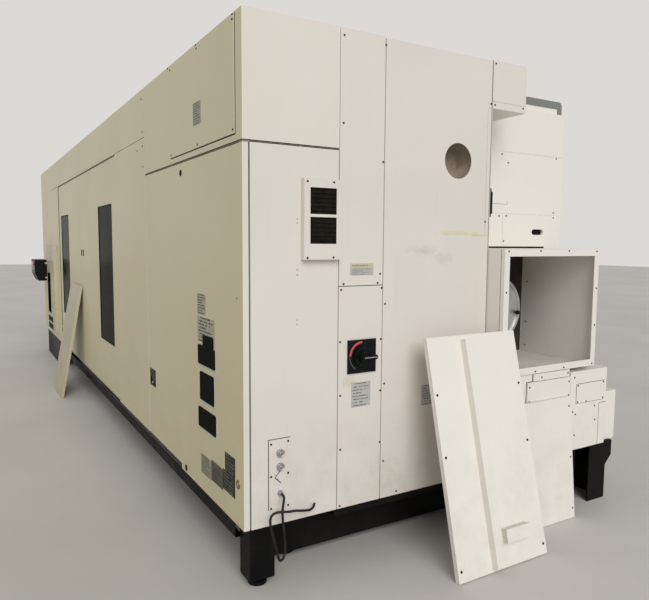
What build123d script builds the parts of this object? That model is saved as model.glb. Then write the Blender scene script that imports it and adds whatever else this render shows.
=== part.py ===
from build123d import *
from math import asin, cos, degrees, pi, radians, sin, tan
import os

# Long slant-bed turning centre, in millimetres.
# X runs along the machine, with the photographed end at the high side. The operator stands at low Y.
# The pieces are made with the near front corner of the enclosure at X = 0, Y = 0 and the floor at Z = 0.
# At the end everything moves so that the origin is the bottom centre of the whole machine's box.

# Enclosure
length = 8076.0            # far end face to near end face
height = 2750.0            # floor to roof
skin = 3.0                 # folded sheet
seam = 4.0                 # gap between neighbouring panels
fit = 0.3                  # gap where a piece rests on another
fold = 28.0                # depth of the returns round a panel
bend = 4.0                 # outer radius of a fold
groove_width = 3.0         # pressed seam line
groove_depth = 1.5
low_edge = 320.0           # bottom edge of the end panels and the cabinet door
front_low = 348.0          # bottom edge of the front panels
band_height = 326.0        # top band
band_low = height - band_height
enclosure_back = 2330.0    # rear panels' outer face

# Near end face, seams along Y and heights
strip_left = 520.0
strip_right = 795.0
main_right = 1548.0
strip_seam = 1485.0
main_drop = 6.0            # roof down to the main end panel
main_top = height - main_drop
duct_y = 1300.0
duct_z = 2165.0
duct_radius = 98.0
corner_box_right = 1823.0
corner_box_height = 270.0
corner_box_low = height - corner_box_height
corner_box_depth = 1500.0
corner_box_seam = 38.0     # bottom edge up to its pressed seam
wing_left = 1516.0         # pressed seam of the narrow strip beside the recess

# Electrical cabinet
cabinet_length = 1712.0
cabinet_low = 330.0
cover_height = 584.0
cover_low = height - cover_height
cabinet_door_depth = 30.0
cabinet_gap = 8.0
door_top = cover_low - cabinet_gap
hinge_inset = 16.0
hinge_pin = 6.0
pin_clearance = 0.07
lug_height = 6.0
lug_gap = 1.5
notch_x = -970.0
notch_height = 32.0
cabinet_panel_left = -1094.0
cabinet_panel_right = -85.0
cabinet_panel_low = cover_low + 41
cabinet_panel_high = height - 12
latch_left = -cabinet_length + 31     # in from the door's free edge
latch_right = latch_left + 148
latch_low = 704.0
latch_high = 824.0
latch_depth = 12.0
latch_pin = 4.0
lock_hole = 9.0
lock_places = ((-912.0, 2103.0), (-890.0, 365.0))
module_width = 220.0
module_height = 380.0
module_depth = 240.0
module_count = 5
module_rows = 3

# End face fittings
vent_left = 303.0
vent_right = 513.0
vent_low = 1622.0
vent_high = 2012.0
vent_depth = 35.0
vent_margin = 29.0
vent_openings = ((1699.0, 1828.0), (1842.0, 1969.0))
filter_depth = 14.0
switch_y = 662.5
switch_z = 1118.0
switch_plate = 175.0
switch_plate_depth = 10.0
switch_hub = 32.0
switch_handle_length = 62.0
switch_handle_depth = 42.0
sockets_left = 129.0
sockets_right = 246.0
sockets_low = 398.0
sockets_high = 750.0
sockets_depth = 4.0
socket_y = 188.0
socket_heights = (681.0, 613.0)
socket_radius = 18.0
socket_depth = 12.0
flap_z = 563.0
flap_size = 46.0
gland_z = 479.0
gland_radius = 15.0
gland_end = 26.3
lead_radius = 6.25

# Front doors and their tracks
door_centre = -4440.0
front_door_width = 1748.0
door_gap = 4.0
front_door_low = front_low + seam
door_head_gap = 12.0       # top band down to the doors
front_door_high = band_low - door_head_gap
door_face = 8.0
door_depth = 36.0
window_from_centre = 945.0
window_width = 605.0
window_low = 790.0
window_high = 2030.0
glass_depth = 6.0
glass_lap = 24.0
grip_width = 64.0
grip_height = 67.0
grip_z = 1586.0
grip_depth = 26.0
grip_from_edge = 18.0
hanger_depth = 6.0
hanger_width = 120.0
roller_radius = 18.0
roller_width = 15.0
track_above_band = 22.0
track_top = band_low + track_above_band
track_sheet = 6.0
guide_overlap = 24.0       # the doors' lower guide reaches this far above their lower edge
guide_top = front_door_low + guide_overlap
far_section = 6990.0

# Operator's console and pendant on the far part of the front
console_left = -7255.0
console_right = -6490.0
console_low = 450.0
console_high = 1655.0
console_depth = 45.0
bay_margin = 25.0
bay_right = -6890.0
bay_low = 683.0
bay_high = 1257.0
bay_depth = 34.0
slot_right = -6740.0
slot_height = 40.0
slot_heights = (470.0, 575.0)
pendant_width = 480.0
pendant_depth = 160.0
pendant_low = 1128.0
pendant_high = 1438.0
pendant_front_chamfer = 50.0
pendant_pin = 7.0
knuckle_radius = 14.0
knuckle_gap = 6.0
pendant_gap = 10.0
ear_height = 20.0
stop_radius = 20.0
stop_stem = 11.0
stop_travel = 4.0

# Base, frame and feet
base_front = 250.0
base_back = 2250.0
base_wall = 12.0
base_low = 45.0
base_far = -7900.0
base_near = -200.0
beam = 60.0
front_beam_y = 66.0
keel = 1000.0              # long beam under the middle
post_inset = 30.0
roof_beam_high = height - fold
leg_width = 135.0
leg_depth = 120.0
leg_inset = 30.0
leg_front = 40.0
base_top = cabinet_low - fit
foot_radius = 60.0
foot_height = 18.0
stem_radius = 18.0
plinth_far = -7780.0
plinth_near = -6340.0

# Slant bed and spindle line
slant = 60.0
spindle_y = 1250.0
spindle_z = 1250.0
centre_height = 560.0
bed_far = -7500.0
bed_near = -520.0
bed_wall = 55.0
way_height = 50.0
carriage_way_places = (180.0, 525.0)
tailstock_way_places = (-465.0, -85.0)
way_width = 80.0
slide_gap = 0.3

# Headstock, chuck and jaws
headstock_far = -7480.0
headstock_near = -6690.0
headstock_radius = 330.0
spindle_play = 2.0         # the passage through the housing is wider than the chuck's bore
bar_hole = 90.0            # round hole for bar stock in the far end panel
chuck_radius = 300.0
chuck_far = -6670.0
chuck_near = -6450.0
chuck_bore = 70.0
nose_radius = 120.0
nose_depth = 90.0
jaw_width = 76.0
jaw_slot_depth = 40.0
jaw_length = 190.0
jaw_grip_radius = 92.0
jaw_front = 95.0

# Carriage, cross slide and turret
carriage_x = -4400.0
carriage_half = 400.0
saddle_low_s = 60.0
saddle_high_s = 650.0
saddle_top = 210.0
rail_width = 70.0
rail_height = 48.0
rail_offset = 190.0
cross_half_width = 270.0
cross_half_length = 310.0
cross_top = 400.0
cross_rest = 430.0
turret_offset = 220.0
turret_radius = 280.0
turret_thickness = 140.0
turret_seat = 140.0        # from the cross slide's far edge to the disc
turret_seat_radius = 150.0
housing_out = 120.0        # turret housing past the cross slide's far edge
housing_in = 60.0
housing_low = 190.0        # from the turret's axis to the housing's foot and top
housing_high = 90.0
housing_bevel = 45.0
boring_bar_radius = 20.0
boring_bar_length = 150.0
boring_bar_out = 60.0
turret_sides = 12
tool_reach = 430.0
tool_shank = 32.0
holder_width = 92.0
holder_height = 70.0

# Feed screw, its wheel and its motor
screw_s = 373.0
screw_n = -62.0
screw_radius = 40.0
screw_channel = 160.0
channel_depth = 150.0
screw_far = -6640.0
wheel_x = -350.0
wheel_radius = 226.0
wheel_width = 44.0
motor_wheel_radius = 75.0
motor_dy = -75.0
motor_dz = 312.0
motor_radius = 92.0
motor_length = 360.0
motor_shaft = 19.0
belt_thickness = 9.0

# Tailstock
tailstock_far = -1900.0
tailstock_length = 700.0
tailstock_radius = 165.0
tailstock_toe = -520.0     # lower and upper ends of its foot along the slant
tailstock_heel = 25.0
tailstock_lift = 14.0
tailstock_toe_height = 120.0
tailstock_shoulder = 190.0
tailstock_neck_low = -150.0
tailstock_neck_high = 120.0

# Chip chute and trough under the bed
chute_top = 700.0
chute_bend_y = 760.0
chute_bend_z = 440.0
trough_front = 1080.0
trough_back = 455.0
quill_radius = 75.0
quill_out = 120.0
centre_out = 130.0
centre_head = 60.0
centre_radius = 40.0
centre_stub = 30.0

# Rear boxes at the near end
rear_face = 130.0
drive_left = 1552.0
drive_right = 2395.0
drive_low = 927.0
drive_high = 1675.0
drive_depth = 620.0
drive_lip = 42.0
drive_frame = 26.0         # depth of the drive box's front frame
tall_box_face = -300.0
tall_box_left = 1557.0
tall_box_right = 2552.0
tall_box_low = drive_high + fit
tall_box_drop = 153.0      # roof down to the tall box
tall_box_high = height - tall_box_drop
tall_box_far = -1600.0
tall_box_seams = (1903.0, 2305.0)
tall_box_split = 1975.0
grip_slot_y = 2314.0
grip_slot_z = 1788.0
grip_slot_width = 112.0
grip_slot_height = 38.0
tray_left = 2150.0
tray_right = 2500.0
tray_height = 42.0
grey_left = 2120.0
grey_right = 2570.0
grey_far = -1000.0
grey_near = -345.0
grey_height = 100.0
grey_high = tall_box_high + grey_height
lower_box_right = 2170.0
plate_left = 1781.0
plate_low = 748.0
plate_high = 878.0
plate_thickness = 12.0
side_box_right = 2535.0
side_box_low = 388.0
side_box_high = 900.0
side_box_split = 2464.0
narrow_right = 2695.0
narrow_high = 722.0
rear_leg_front = 115.0
rear_leg_left = 2410.0
rear_leg_right = 2640.0
rear_leg_far = -400.0

# Covers taken off and leaned on the machine
large_cover_left = 964.0
large_cover_width = 645.0
large_cover_length = 1240.0
large_cover_foot = 428.0
stiffener_from_edge = 232.0
stiffener_width = 60.0
stiffener_height = 40.0
second_cover_left = 1700.0
second_cover_width = 437.0
second_cover_length = 760.0
second_cover_foot = 200.0
narrow_cover_left = -5120.0
narrow_cover_width = 640.0
narrow_cover_length = 1245.0
narrow_cover_foot = -222.0

far_face = -length
front_panel_back = front_beam_y - fit
latch_pin_z = latch_high - latch_depth / 2
foot_y = spindle_y + centre_height * sin(radians(slant))
foot_z = spindle_z - centre_height * cos(radians(slant))


def block(x0, x1, y0, y1, z0, z1):
    """Block between two corners."""
    middle = Pos((x0 + x1) / 2, (y0 + y1) / 2, (z0 + z1) / 2)
    return middle * Box(x1 - x0, y1 - y0, z1 - z0)


def rod(along, start, end, a, b, radius):
    """Round bar from start to end along one axis; a and b are its other two coordinates, in order."""
    middle = (start + end) / 2
    bar = Cylinder(radius, abs(end - start))
    if along == "x":
        return Pos(middle, a, b) * Rot(0, 90, 0) * bar
    if along == "y":
        return Pos(a, middle, b) * Rot(90, 0, 0) * bar
    return Pos(a, b, middle) * bar


def pan(x0, x1, y0, y1, z0, z1, open_sides, wall=skin):
    """Folded sheet tray with walls of one thickness, open on the named sides, such as "-x"."""
    inner = [x0 + wall, x1 - wall, y0 + wall, y1 - wall, z0 + wall, z1 - wall]
    outer = [x0, x1, y0, y1, z0, z1]
    sides = ("-x", "+x", "-y", "+y", "-z", "+z")
    for side in open_sides:
        place = sides.index(side)
        step = -1.0 if side[0] == "-" else 1.0
        inner[place] = outer[place] + step
    return block(*outer) - block(*inner)


def groove(face, y0, y1, z0, z1):
    """Cutter for a pressed line in a face that looks along +X."""
    return block(face - groove_depth, face + 1, y0, y1, z0, z1)


def end_pan(y0, y1, z0, z1, face=0.0, depth=fold):
    """Panel that faces +X, with its upright folds rounded."""
    panel = pan(face - depth, face, y0, y1, z0, z1, ("-x",))
    folds = panel.edges().filter_by(Axis.Z).group_by(Axis.X)[-1]
    outer = [e for e in folds if min(abs(e.center().Y - y0), abs(e.center().Y - y1)) < 0.01]
    return fillet(outer, bend)


def front_pan(x0, x1, z0, z1, y0=0.0, depth=fold):
    """Panel that faces -Y, with its upright folds rounded."""
    panel = pan(x0, x1, y0, y0 + depth, z0, z1, ("+y",))
    folds = panel.edges().filter_by(Axis.Z).group_by(Axis.Y)[0]
    outer = [e for e in folds if min(abs(e.center().X - x0), abs(e.center().X - x1)) < 0.01]
    return fillet(outer, bend)


def on_slant(shape):
    """Place a shape drawn with Y along the bed's slope and Z away from it, at the spindle's foot."""
    return Pos(0, foot_y, foot_z) * Rot(slant, 0, 0) * shape


def slant_point(s, n):
    """Y and Z of a place given along the slope and away from it."""
    lean = radians(slant)
    return foot_y + s * cos(lean) - n * sin(lean), foot_z + s * sin(lean) + n * cos(lean)


def bar_profile(points, x0, x1):
    """Prism along X with the given outline in Y and Z."""
    outline = Plane.YZ * make_face(Polyline(*points, close=True))
    return Pos(x0, 0, 0) * extrude(outline, x1 - x0)


wheel_y, wheel_z = slant_point(screw_s, screw_n)
motor_y = wheel_y + motor_dy
motor_z = wheel_z + motor_dz
turret_y, turret_z = slant_point(cross_rest + turret_offset, centre_height)


# Bed and headstock

def make_bed():
    """Hollow cast bed with a sloping face, four box ways and a channel for the feed screw."""
    low_y, low_z = slant_point(-520, 0)
    high_y, high_z = slant_point(560, 0)
    back = base_back - 10
    outline = [(low_y - 95, cabinet_low), (low_y - 95, low_z - 50), (low_y, low_z), (high_y, high_z),
               (back - 50, high_z), (back, high_z - 75), (back, cabinet_low)]
    outer = make_face(Polyline(*outline, close=True))
    slope = Pos(foot_y, foot_z) * Rot(0, 0, slant)
    channel = Pos(screw_s, -channel_depth / 2 + 1) * Rectangle(screw_channel, channel_depth + 2)
    round_channel = Pos(screw_s, -channel_depth / 2) * Rectangle(
        screw_channel + 2 * bed_wall, channel_depth + 2 * bed_wall)
    cells = offset(outer, -bed_wall, kind=Kind.INTERSECTION) - slope * round_channel
    shelf_z = (cabinet_low + high_z) / 2 - bed_wall
    cells -= Pos((low_y + back) / 2, shelf_z) * Rectangle(2 * (back - low_y), bed_wall)
    section = outer
    for place in carriage_way_places + tailstock_way_places:
        section += slope * Pos(place, way_height / 2 - 1) * Rectangle(way_width, way_height + 2)
    bed = Pos(bed_far, 0, 0) * extrude(Plane.YZ * section, bed_near - bed_far)
    bed -= Pos(bed_far - 1, 0, 0) * extrude(Plane.YZ * cells, bed_near - bed_far - bed_wall)
    bed -= Pos(bed_far - 1, 0, 0) * extrude(Plane.YZ * (slope * channel), bed_near - bed_far + 2)
    for x0 in (screw_far + 30, bed_near - 70):
        web = block(x0, x0 + 70, screw_s - screw_channel / 2 - 1, screw_s + screw_channel / 2 + 1,
                    -channel_depth - 1, 0)
        bed += on_slant(web)
    bore = rod("x", screw_far - 100, bed_near + 10, wheel_y, wheel_z, screw_radius + pin_clearance)
    bed -= bore
    seat = block(headstock_far - 30, headstock_near + 10, -560, 700, 0, way_height + 10)
    return bed - on_slant(seat)


def make_headstock():
    """Cast housing round the spindle, on the bed's slope, with a bearing cover and a bore for the nose."""
    core = Pos(0, centre_height) * Circle(headstock_radius)
    neck = make_face(Polyline((-430, fit), (430, fit), (headstock_radius - 20, centre_height),
                              (20 - headstock_radius, centre_height), close=True))
    profile = Plane.YZ * (core + neck)
    body = Pos(headstock_far, 0, 0) * extrude(profile, headstock_near - headstock_far)
    body = on_slant(body)
    body = chamfer(body.faces().sort_by(Axis.X)[-1].outer_wire().edges(), 12)
    cover = rod("x", headstock_near - 1, headstock_near + 14, spindle_y, spindle_z, headstock_radius - 90)
    body += cover
    bore = rod("x", headstock_near - nose_depth, headstock_near + 20, spindle_y, spindle_z,
               nose_radius + pin_clearance)
    bore += rod("x", headstock_far - 1, headstock_near, spindle_y, spindle_z, chuck_bore + spindle_play)
    return body - bore


def make_chuck():
    """Three-jaw chuck with its spindle nose, a through bore and three radial guide slots."""
    disc = rod("x", chuck_far, chuck_near, spindle_y, spindle_z, chuck_radius)
    disc = chamfer(disc.edges().filter_by(GeomType.CIRCLE), 8)
    disc += rod("x", headstock_near - nose_depth + 5, chuck_far + 5, spindle_y, spindle_z, nose_radius)
    disc -= rod("x", headstock_near - nose_depth, chuck_near + 1, spindle_y, spindle_z, chuck_bore)
    slot = block(chuck_near - jaw_slot_depth, chuck_near + 1, -jaw_width / 2 - fit, jaw_width / 2 + fit,
                 0, chuck_radius + 1)
    for turn in range(3):
        disc -= Pos(0, spindle_y, spindle_z) * Rot(120 * turn, 0, 0) * slot
    return disc


def make_jaw(turn):
    """Master jaw in its slot with a stepped top jaw in front of it."""
    low = jaw_grip_radius
    inner = chuck_near - jaw_slot_depth + fit
    half = jaw_width / 2
    master = block(inner, chuck_near + 1, -half, half, low, low + jaw_length)
    step = jaw_front / 3
    for number in range(3):
        x0 = chuck_near + number * step
        master += block(x0, x0 + step, -half, half, low + (2 - number) * 6, low + jaw_length - number * 45)
    return Pos(0, spindle_y, spindle_z) * Rot(120 * turn, 0, 0) * master


# Carriage and turret

def make_carriage():
    """Saddle astride the two upper ways, with cross rails on top and the screw's nut beneath."""
    x0 = carriage_x - carriage_half
    x1 = carriage_x + carriage_half
    saddle = block(x0, x1, saddle_low_s, saddle_high_s, 12, saddle_top)
    for place in carriage_way_places:
        half = way_width / 2 + slide_gap
        saddle -= block(x0 - 1, x1 + 1, place - half, place + half, 0, way_height + slide_gap)
    nut_half = screw_channel / 2 - 12
    saddle += block(carriage_x - 150, carriage_x + 150, screw_s - nut_half, screw_s + nut_half,
                    screw_n - 58, 20)
    for side in (-1, 1):
        middle = carriage_x + side * rail_offset
        saddle += block(middle - rail_width / 2, middle + rail_width / 2, saddle_low_s + 10,
                        saddle_high_s - 10, saddle_top - 1, saddle_top + rail_height)
    saddle = on_slant(saddle)
    return saddle - rod("x", x0 - 1, x1 + 1, wheel_y, wheel_z, screw_radius + 4 * fit)


def make_cross_slide():
    """Cross slide on its two rails, carrying the turret's housing and its short round neck."""
    low = cross_rest - cross_half_length
    high = cross_rest + cross_half_length
    x0 = carriage_x - cross_half_width
    x1 = carriage_x + cross_half_width
    slide = block(x0, x1, low, high, saddle_top + 8, cross_top)
    for side in (-1, 1):
        middle = carriage_x + side * rail_offset
        half = rail_width / 2 + slide_gap
        slide -= block(middle - half, middle + half, low - 1, high + 1, saddle_top,
                       saddle_top + rail_height + fit)
    axis_s = cross_rest + turret_offset
    housing = block(x0 - housing_out, x1 - housing_in, axis_s - housing_low, axis_s + housing_high,
                    cross_top - 1, centre_height + housing_low)
    housing = chamfer(housing.edges().filter_by(Axis.X), housing_bevel)
    slide += housing
    slide = on_slant(slide)
    return slide + rod("x", x0 - turret_seat, x0 - housing_out + 10, turret_y, turret_z, turret_seat_radius)


def make_turret():
    """Twelve-sided turret disc with a hub plate and six block holders with their tools."""
    x1 = carriage_x - cross_half_width - turret_seat - fit
    x0 = x1 - turret_thickness
    face = Plane.YZ * RegularPolygon(turret_radius, turret_sides, major_radius=False)
    disc = Pos(x0, turret_y, turret_z) * extrude(face, turret_thickness)
    disc = chamfer(disc.faces().sort_by(Axis.X)[0].outer_wire().edges(), 10)
    disc += rod("x", x0 - 22, x0 + 1, turret_y, turret_z, 120)
    middle = (x0 + x1) / 2
    for turn in range(0, turret_sides, 2):
        holder = block(middle - 55, middle + 55, -holder_width / 2, holder_width / 2,
                       turret_radius - 1, turret_radius + holder_height)
        if turn % 4 == 0:
            holder += block(middle - 40, middle - 40 + tool_shank, -tool_shank / 2, tool_shank / 2,
                            turret_radius + holder_height - 1, tool_reach - fit)
        else:
            bar = Rot(0, 90, 0) * Cylinder(boring_bar_radius, boring_bar_length)
            holder += Pos(x0 - boring_bar_out, 0, turret_radius + holder_height / 2) * bar
        angle = 360 / turret_sides * turn
        disc += Pos(0, turret_y, turret_z) * Rot(angle, 0, 0) * holder
    return disc


# Feed screw drive

def make_feed_screw():
    """Feed screw between its two bearing webs, with the seat for the belt wheel at its near end."""
    screw = rod("x", screw_far, wheel_x + wheel_width / 2 + 30, wheel_y, wheel_z, screw_radius)
    return chamfer(screw.edges().filter_by(GeomType.CIRCLE), 3)


def belt_wheel(radius, bore, y, z):
    """Belt wheel with a rim, a thinner web and a hub."""
    x0 = wheel_x - wheel_width / 2
    x1 = wheel_x + wheel_width / 2
    wheel = rod("x", x0, x1, y, z, radius)
    if radius > 3 * bore:
        groove = rod("x", x1 - 12, x1 + 1, y, z, radius - 16) - rod("x", x1 - 13, x1 + 2, y, z, bore + 34)
        wheel -= groove
    return wheel - rod("x", x0 - 1, x1 + 1, y, z, bore)


def make_drive_wheel():
    """Large belt wheel on the feed screw."""
    return belt_wheel(wheel_radius, screw_radius, wheel_y, wheel_z)


def make_motor_wheel():
    """Small belt wheel on the motor's shaft."""
    return belt_wheel(motor_wheel_radius, motor_shaft + pin_clearance, motor_y, motor_z)


def belt_outline(extra):
    """Outline round both wheels, further out by the given amount."""
    large = Pos(wheel_y, wheel_z) * Circle(wheel_radius + extra)
    small = Pos(motor_y, motor_z) * Circle(motor_wheel_radius + extra)
    return make_hull((large.edges() + small.edges()))


def make_drive_belt():
    """Flat belt round the two wheels."""
    loop = belt_outline(fit + belt_thickness) - belt_outline(fit)
    half = wheel_width / 2 - 3
    return Pos(wheel_x - half, 0, 0) * extrude(Plane.YZ * loop, 2 * half)


def make_motor():
    """Feed motor: finned round body, square flange and shaft."""
    back = rear_face - drive_depth
    x1 = back - fit
    body = rod("x", x1 - motor_length, x1 - 14, motor_y, motor_z, motor_radius)
    for number in range(5):
        x0 = x1 - motor_length + 50 + number * 44
        body += rod("x", x0, x0 + 14, motor_y, motor_z, motor_radius + 8)
    size = motor_radius + 6
    body += block(x1 - 16, x1, motor_y - size, motor_y + size, motor_z - size, motor_z + size)
    shaft_end = wheel_x + wheel_width / 2 + 6
    return body + rod("x", x1 - 20, shaft_end, motor_y, motor_z, motor_shaft)


# Tailstock

def make_tailstock():
    """Tailstock body on the two lower ways, with its quill out."""
    toe = tailstock_toe
    heel = tailstock_heel
    profile = Plane.YZ * (Pos(0, centre_height) * Circle(tailstock_radius) + make_face(Polyline(
        (toe, tailstock_lift), (heel, tailstock_lift), (heel, tailstock_shoulder),
        (tailstock_neck_high, centre_height - 110), (tailstock_neck_low, centre_height - 60),
        (toe, tailstock_toe_height), close=True)))
    for place in tailstock_way_places:
        half = way_width / 2 + slide_gap
        groove = Pos(place, (way_height + slide_gap) / 2) * Rectangle(2 * half, way_height + slide_gap)
        profile -= Plane.YZ * groove
    body = Pos(tailstock_far, 0, 0) * extrude(profile, tailstock_length)
    body = on_slant(body)
    quill = rod("x", tailstock_far - quill_out, tailstock_far + 1, spindle_y, spindle_z, quill_radius)
    body += quill
    socket = rod("x", tailstock_far - quill_out - 1, tailstock_far - quill_out + 60, spindle_y, spindle_z,
                 centre_stub + pin_clearance)
    return body - socket


def make_live_centre():
    """Live centre: stub in the quill, round head and a sixty-degree point."""
    x1 = tailstock_far - quill_out
    stub = rod("x", x1 - 1, x1 + 50, spindle_y, spindle_z, centre_stub)
    head = rod("x", x1 - centre_head, x1 - 1, spindle_y, spindle_z, centre_radius + 8)
    point_length = centre_out - centre_head
    point = Pos(x1 - centre_head - point_length / 2, spindle_y, spindle_z) * Rot(0, -90, 0) * Cone(
        centre_radius, centre_radius - point_length * tan(radians(29)), point_length)
    return stub + head + point


# Base and frame

def make_tray():
    """Open welded base tray with four cross walls."""
    tray = pan(base_far, base_near, base_front, base_back, base_low, base_top, ("+z",), base_wall)
    for number in range(1, 5):
        x = base_far + (base_near - base_far) * number / 5
        tray += block(x - base_wall, x + base_wall, base_front + 1, base_back - 1, base_low + 1, base_top)
    return tray


def make_hinge_lug():
    """Lower hinge lug of the cabinet door, welded to the near corner leg."""
    lug_top = low_edge - lug_gap
    lug = block(-leg_inset - beam, -hinge_inset + 12, hinge_inset - 12, leg_front - fit,
                lug_top - lug_height, lug_top)
    return lug - rod("z", lug_top - lug_height - 1, lug_top + 1, -hinge_inset, hinge_inset,
                     hinge_pin + pin_clearance)


def make_frame():
    """Black base tray with the beams and posts for the panels, each bar ending just short of the next."""
    low = base_top - beam
    high = roof_beam_high - fit
    roof_low = high - beam
    line = front_beam_y + beam
    front_near = -cabinet_length - seam
    front_far = far_face + post_inset
    near_back = -fold - fit
    near_front = near_back - beam
    rear_line = enclosure_back - fold - fit
    end_right = main_right - 3
    leg_far = -leg_inset - leg_depth
    bars = [make_tray(), make_hinge_lug()]
    # lower beams round the base, with the near corner leg
    bars.append(block(leg_far, -leg_inset, leg_front, leg_front + leg_width, foot_height + 20, base_top))
    bars.append(block(front_far, leg_far - fit, front_beam_y, line, low, base_top))
    bars.append(block(front_far, front_far + beam, line + fit, rear_line, low, base_top))
    bars.append(block(near_front, near_back, strip_left, end_right, low, base_top))
    tie_step = (base_near - base_far - 280) / 4
    for number in range(5):
        x = base_far + 200 + number * tie_step
        bars.append(block(x, x + beam, line + fit, base_front - fit, low, base_top))
    bars.append(block(front_far + beam + fit, base_far - fit, keel, keel + beam, low, base_top))
    for y in (strip_left + beam / 2, keel, end_right - beam - 17):
        bars.append(block(base_near + fit, near_front - fit, y, y + beam, low, base_top))
    # posts on the lower beams
    foot = base_top + fit
    head = roof_low - fit
    for x in (front_near - beam, front_far):
        bars.append(block(x, x + beam, front_beam_y, line, foot, head))
    bars.append(block(front_far, front_far + beam, rear_line - beam, rear_line, foot, head))
    middle = (front_far + tall_box_far) / 2
    for x0, x1 in ((tall_box_far - beam, tall_box_far - fit), (middle, middle + beam)):
        bars.append(block(x0, x1, base_back + fit, rear_line, base_low + 20, base_top))
        bars.append(block(x0, x1, rear_line - beam, rear_line, foot, head))
    for y in (strip_left, strip_right - beam / 2, end_right - beam):
        wide = beam - 20 if y == strip_left else beam
        bars.append(block(near_front, near_back, y, y + wide, foot, head))
    # roof beams on the posts
    roof_line = line - 25
    bars.append(block(front_far, front_near, fold + fit, roof_line, roof_low, high))
    bars.append(block(front_far, tall_box_far - fit, rear_line - beam, rear_line, roof_low, high))
    for x in (front_far, front_near - beam):
        bars.append(block(x, x + beam, roof_line + fit, rear_line - beam - fit, roof_low, high))
    bars.append(block(near_front, near_back, strip_left, end_right, roof_low, high))
    for y in (strip_left, end_right - beam):
        wide = beam - 20 if y == strip_left else beam
        bars.append(block(front_near + fit, near_front - fit, y, y + wide, roof_low, high))
    return Compound(children=bars)


def foot_places():
    """Centres of the levelling feet, as X and Y."""
    places = []
    for number in range(6):
        x = base_far + 120 + (base_near - base_far - 240) * number / 5
        places += [(x, base_front + 120), (x, base_back - 120)]
    return places


def make_feet():
    """Levelling feet: a round pad and a screwed stem under the base and the near corner leg."""
    feet = []
    for x, y in foot_places():
        foot = rod("z", 0, foot_height, x, y, foot_radius)
        foot += rod("z", foot_height - 1, base_low - fit, x, y, stem_radius)
        feet.append(foot)
    leg_x = -leg_inset - leg_depth / 2
    leg_y = leg_front + leg_width / 2
    foot = rod("z", 0, foot_height, leg_x, leg_y, foot_radius * 0.8)
    foot += rod("z", foot_height - 1, foot_height + 20 - fit, leg_x, leg_y, stem_radius)
    feet.append(foot)
    return Compound(children=feet)


def make_plinth():
    """Plinth panel under the far part of the front, cut away above its ends for the doors' lower guide."""
    panel = pan(plinth_far, plinth_near, 0, front_panel_back, 0, front_low - fit, ("+y", "+z", "-z"))
    return panel - block(plinth_far - 1, plinth_near + 1, fold, beam + 20, cabinet_low - 5, front_low)


# Electrical cabinet

def make_cabinet():
    """Cabinet shell, open to the front behind its door, with the upper hinge lug."""
    front = cabinet_door_depth + cabinet_gap
    top = cover_low - fit
    x0 = -cabinet_length + seam
    x1 = -fold - fit
    shell = pan(x0, x1, front, strip_left - 6, cabinet_low, top, ("-y",))
    # inward folds round the opening
    frame = block(x0 + 1, x1 - 1, front, front + skin, cabinet_low + 1, top - 1)
    frame -= block(x0 + fold, x1 - fold, front - 1, front + skin + 1, cabinet_low + fold, top - fold)
    shell += frame
    lug_low = door_top + lug_gap
    lug_high = lug_low + lug_height
    shell += block(x1 - 30, -hinge_inset + 12, hinge_inset - 12, front - 2, lug_low, lug_high)
    shell += block(x1 - 30, x1, front - 3, front + 20, lug_low, lug_high)
    return shell - rod("z", lug_low - 1, lug_high + 1, -hinge_inset, hinge_inset, hinge_pin + pin_clearance)


def make_cabinet_door():
    """Cabinet door: folded pan with a stepped lower edge, hinge pins, lock holes and the latch's recess."""
    x0 = -cabinet_length + seam
    x1 = -2.0
    depth = cabinet_door_depth
    door = front_pan(x0, x1, low_edge, door_top, 0, depth)
    door -= block(x0 - 1, notch_x, -1, depth + 1, low_edge - 1, low_edge + notch_height)
    door += block(x0, notch_x + skin, 1, depth, low_edge + notch_height, low_edge + notch_height + skin)
    door += block(notch_x, notch_x + skin, 1, depth, low_edge, low_edge + notch_height + skin)
    for z0 in (low_edge + 1, door_top - 81):
        door += block(-hinge_inset - 9, -hinge_inset + 9, hinge_inset - 9, hinge_inset + 9, z0, z0 + 80)
    door += rod("z", low_edge + 5, low_edge - lug_gap - lug_height, -hinge_inset, hinge_inset, hinge_pin)
    door += rod("z", door_top - 5, door_top + lug_gap + lug_height, -hinge_inset, hinge_inset, hinge_pin)
    for x, z in lock_places:
        door -= rod("y", -1, skin + 1, x, z, lock_hole)
    # recess for the paddle latch
    wall = skin + fit
    door += block(latch_left - wall, latch_right + wall, 1, latch_depth + 8,
                  latch_low - wall, latch_high + wall)
    door -= block(latch_left - fit, latch_right + fit, -1, latch_depth + 5,
                  latch_low - fit, latch_high + fit)
    return door - rod("x", latch_left - skin, latch_right + skin, latch_depth / 2, latch_pin_z,
                      latch_pin + pin_clearance)


def make_latch():
    """Paddle latch that swings out about a pin near its top edge."""
    half = latch_depth / 2
    paddle = block(latch_left, latch_right, 0, latch_depth, latch_low, latch_high)
    paddle = fillet(paddle.edges().filter_by(Axis.X).group_by(Axis.Z)[-1], half - 0.1)
    paddle -= block(latch_left + 15, latch_right - 15, -1, half - 1, latch_low + 12, latch_low + 60)
    reach = skin - fit
    return paddle + rod("x", latch_left - reach, latch_right + reach, half, latch_pin_z, latch_pin)


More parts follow.
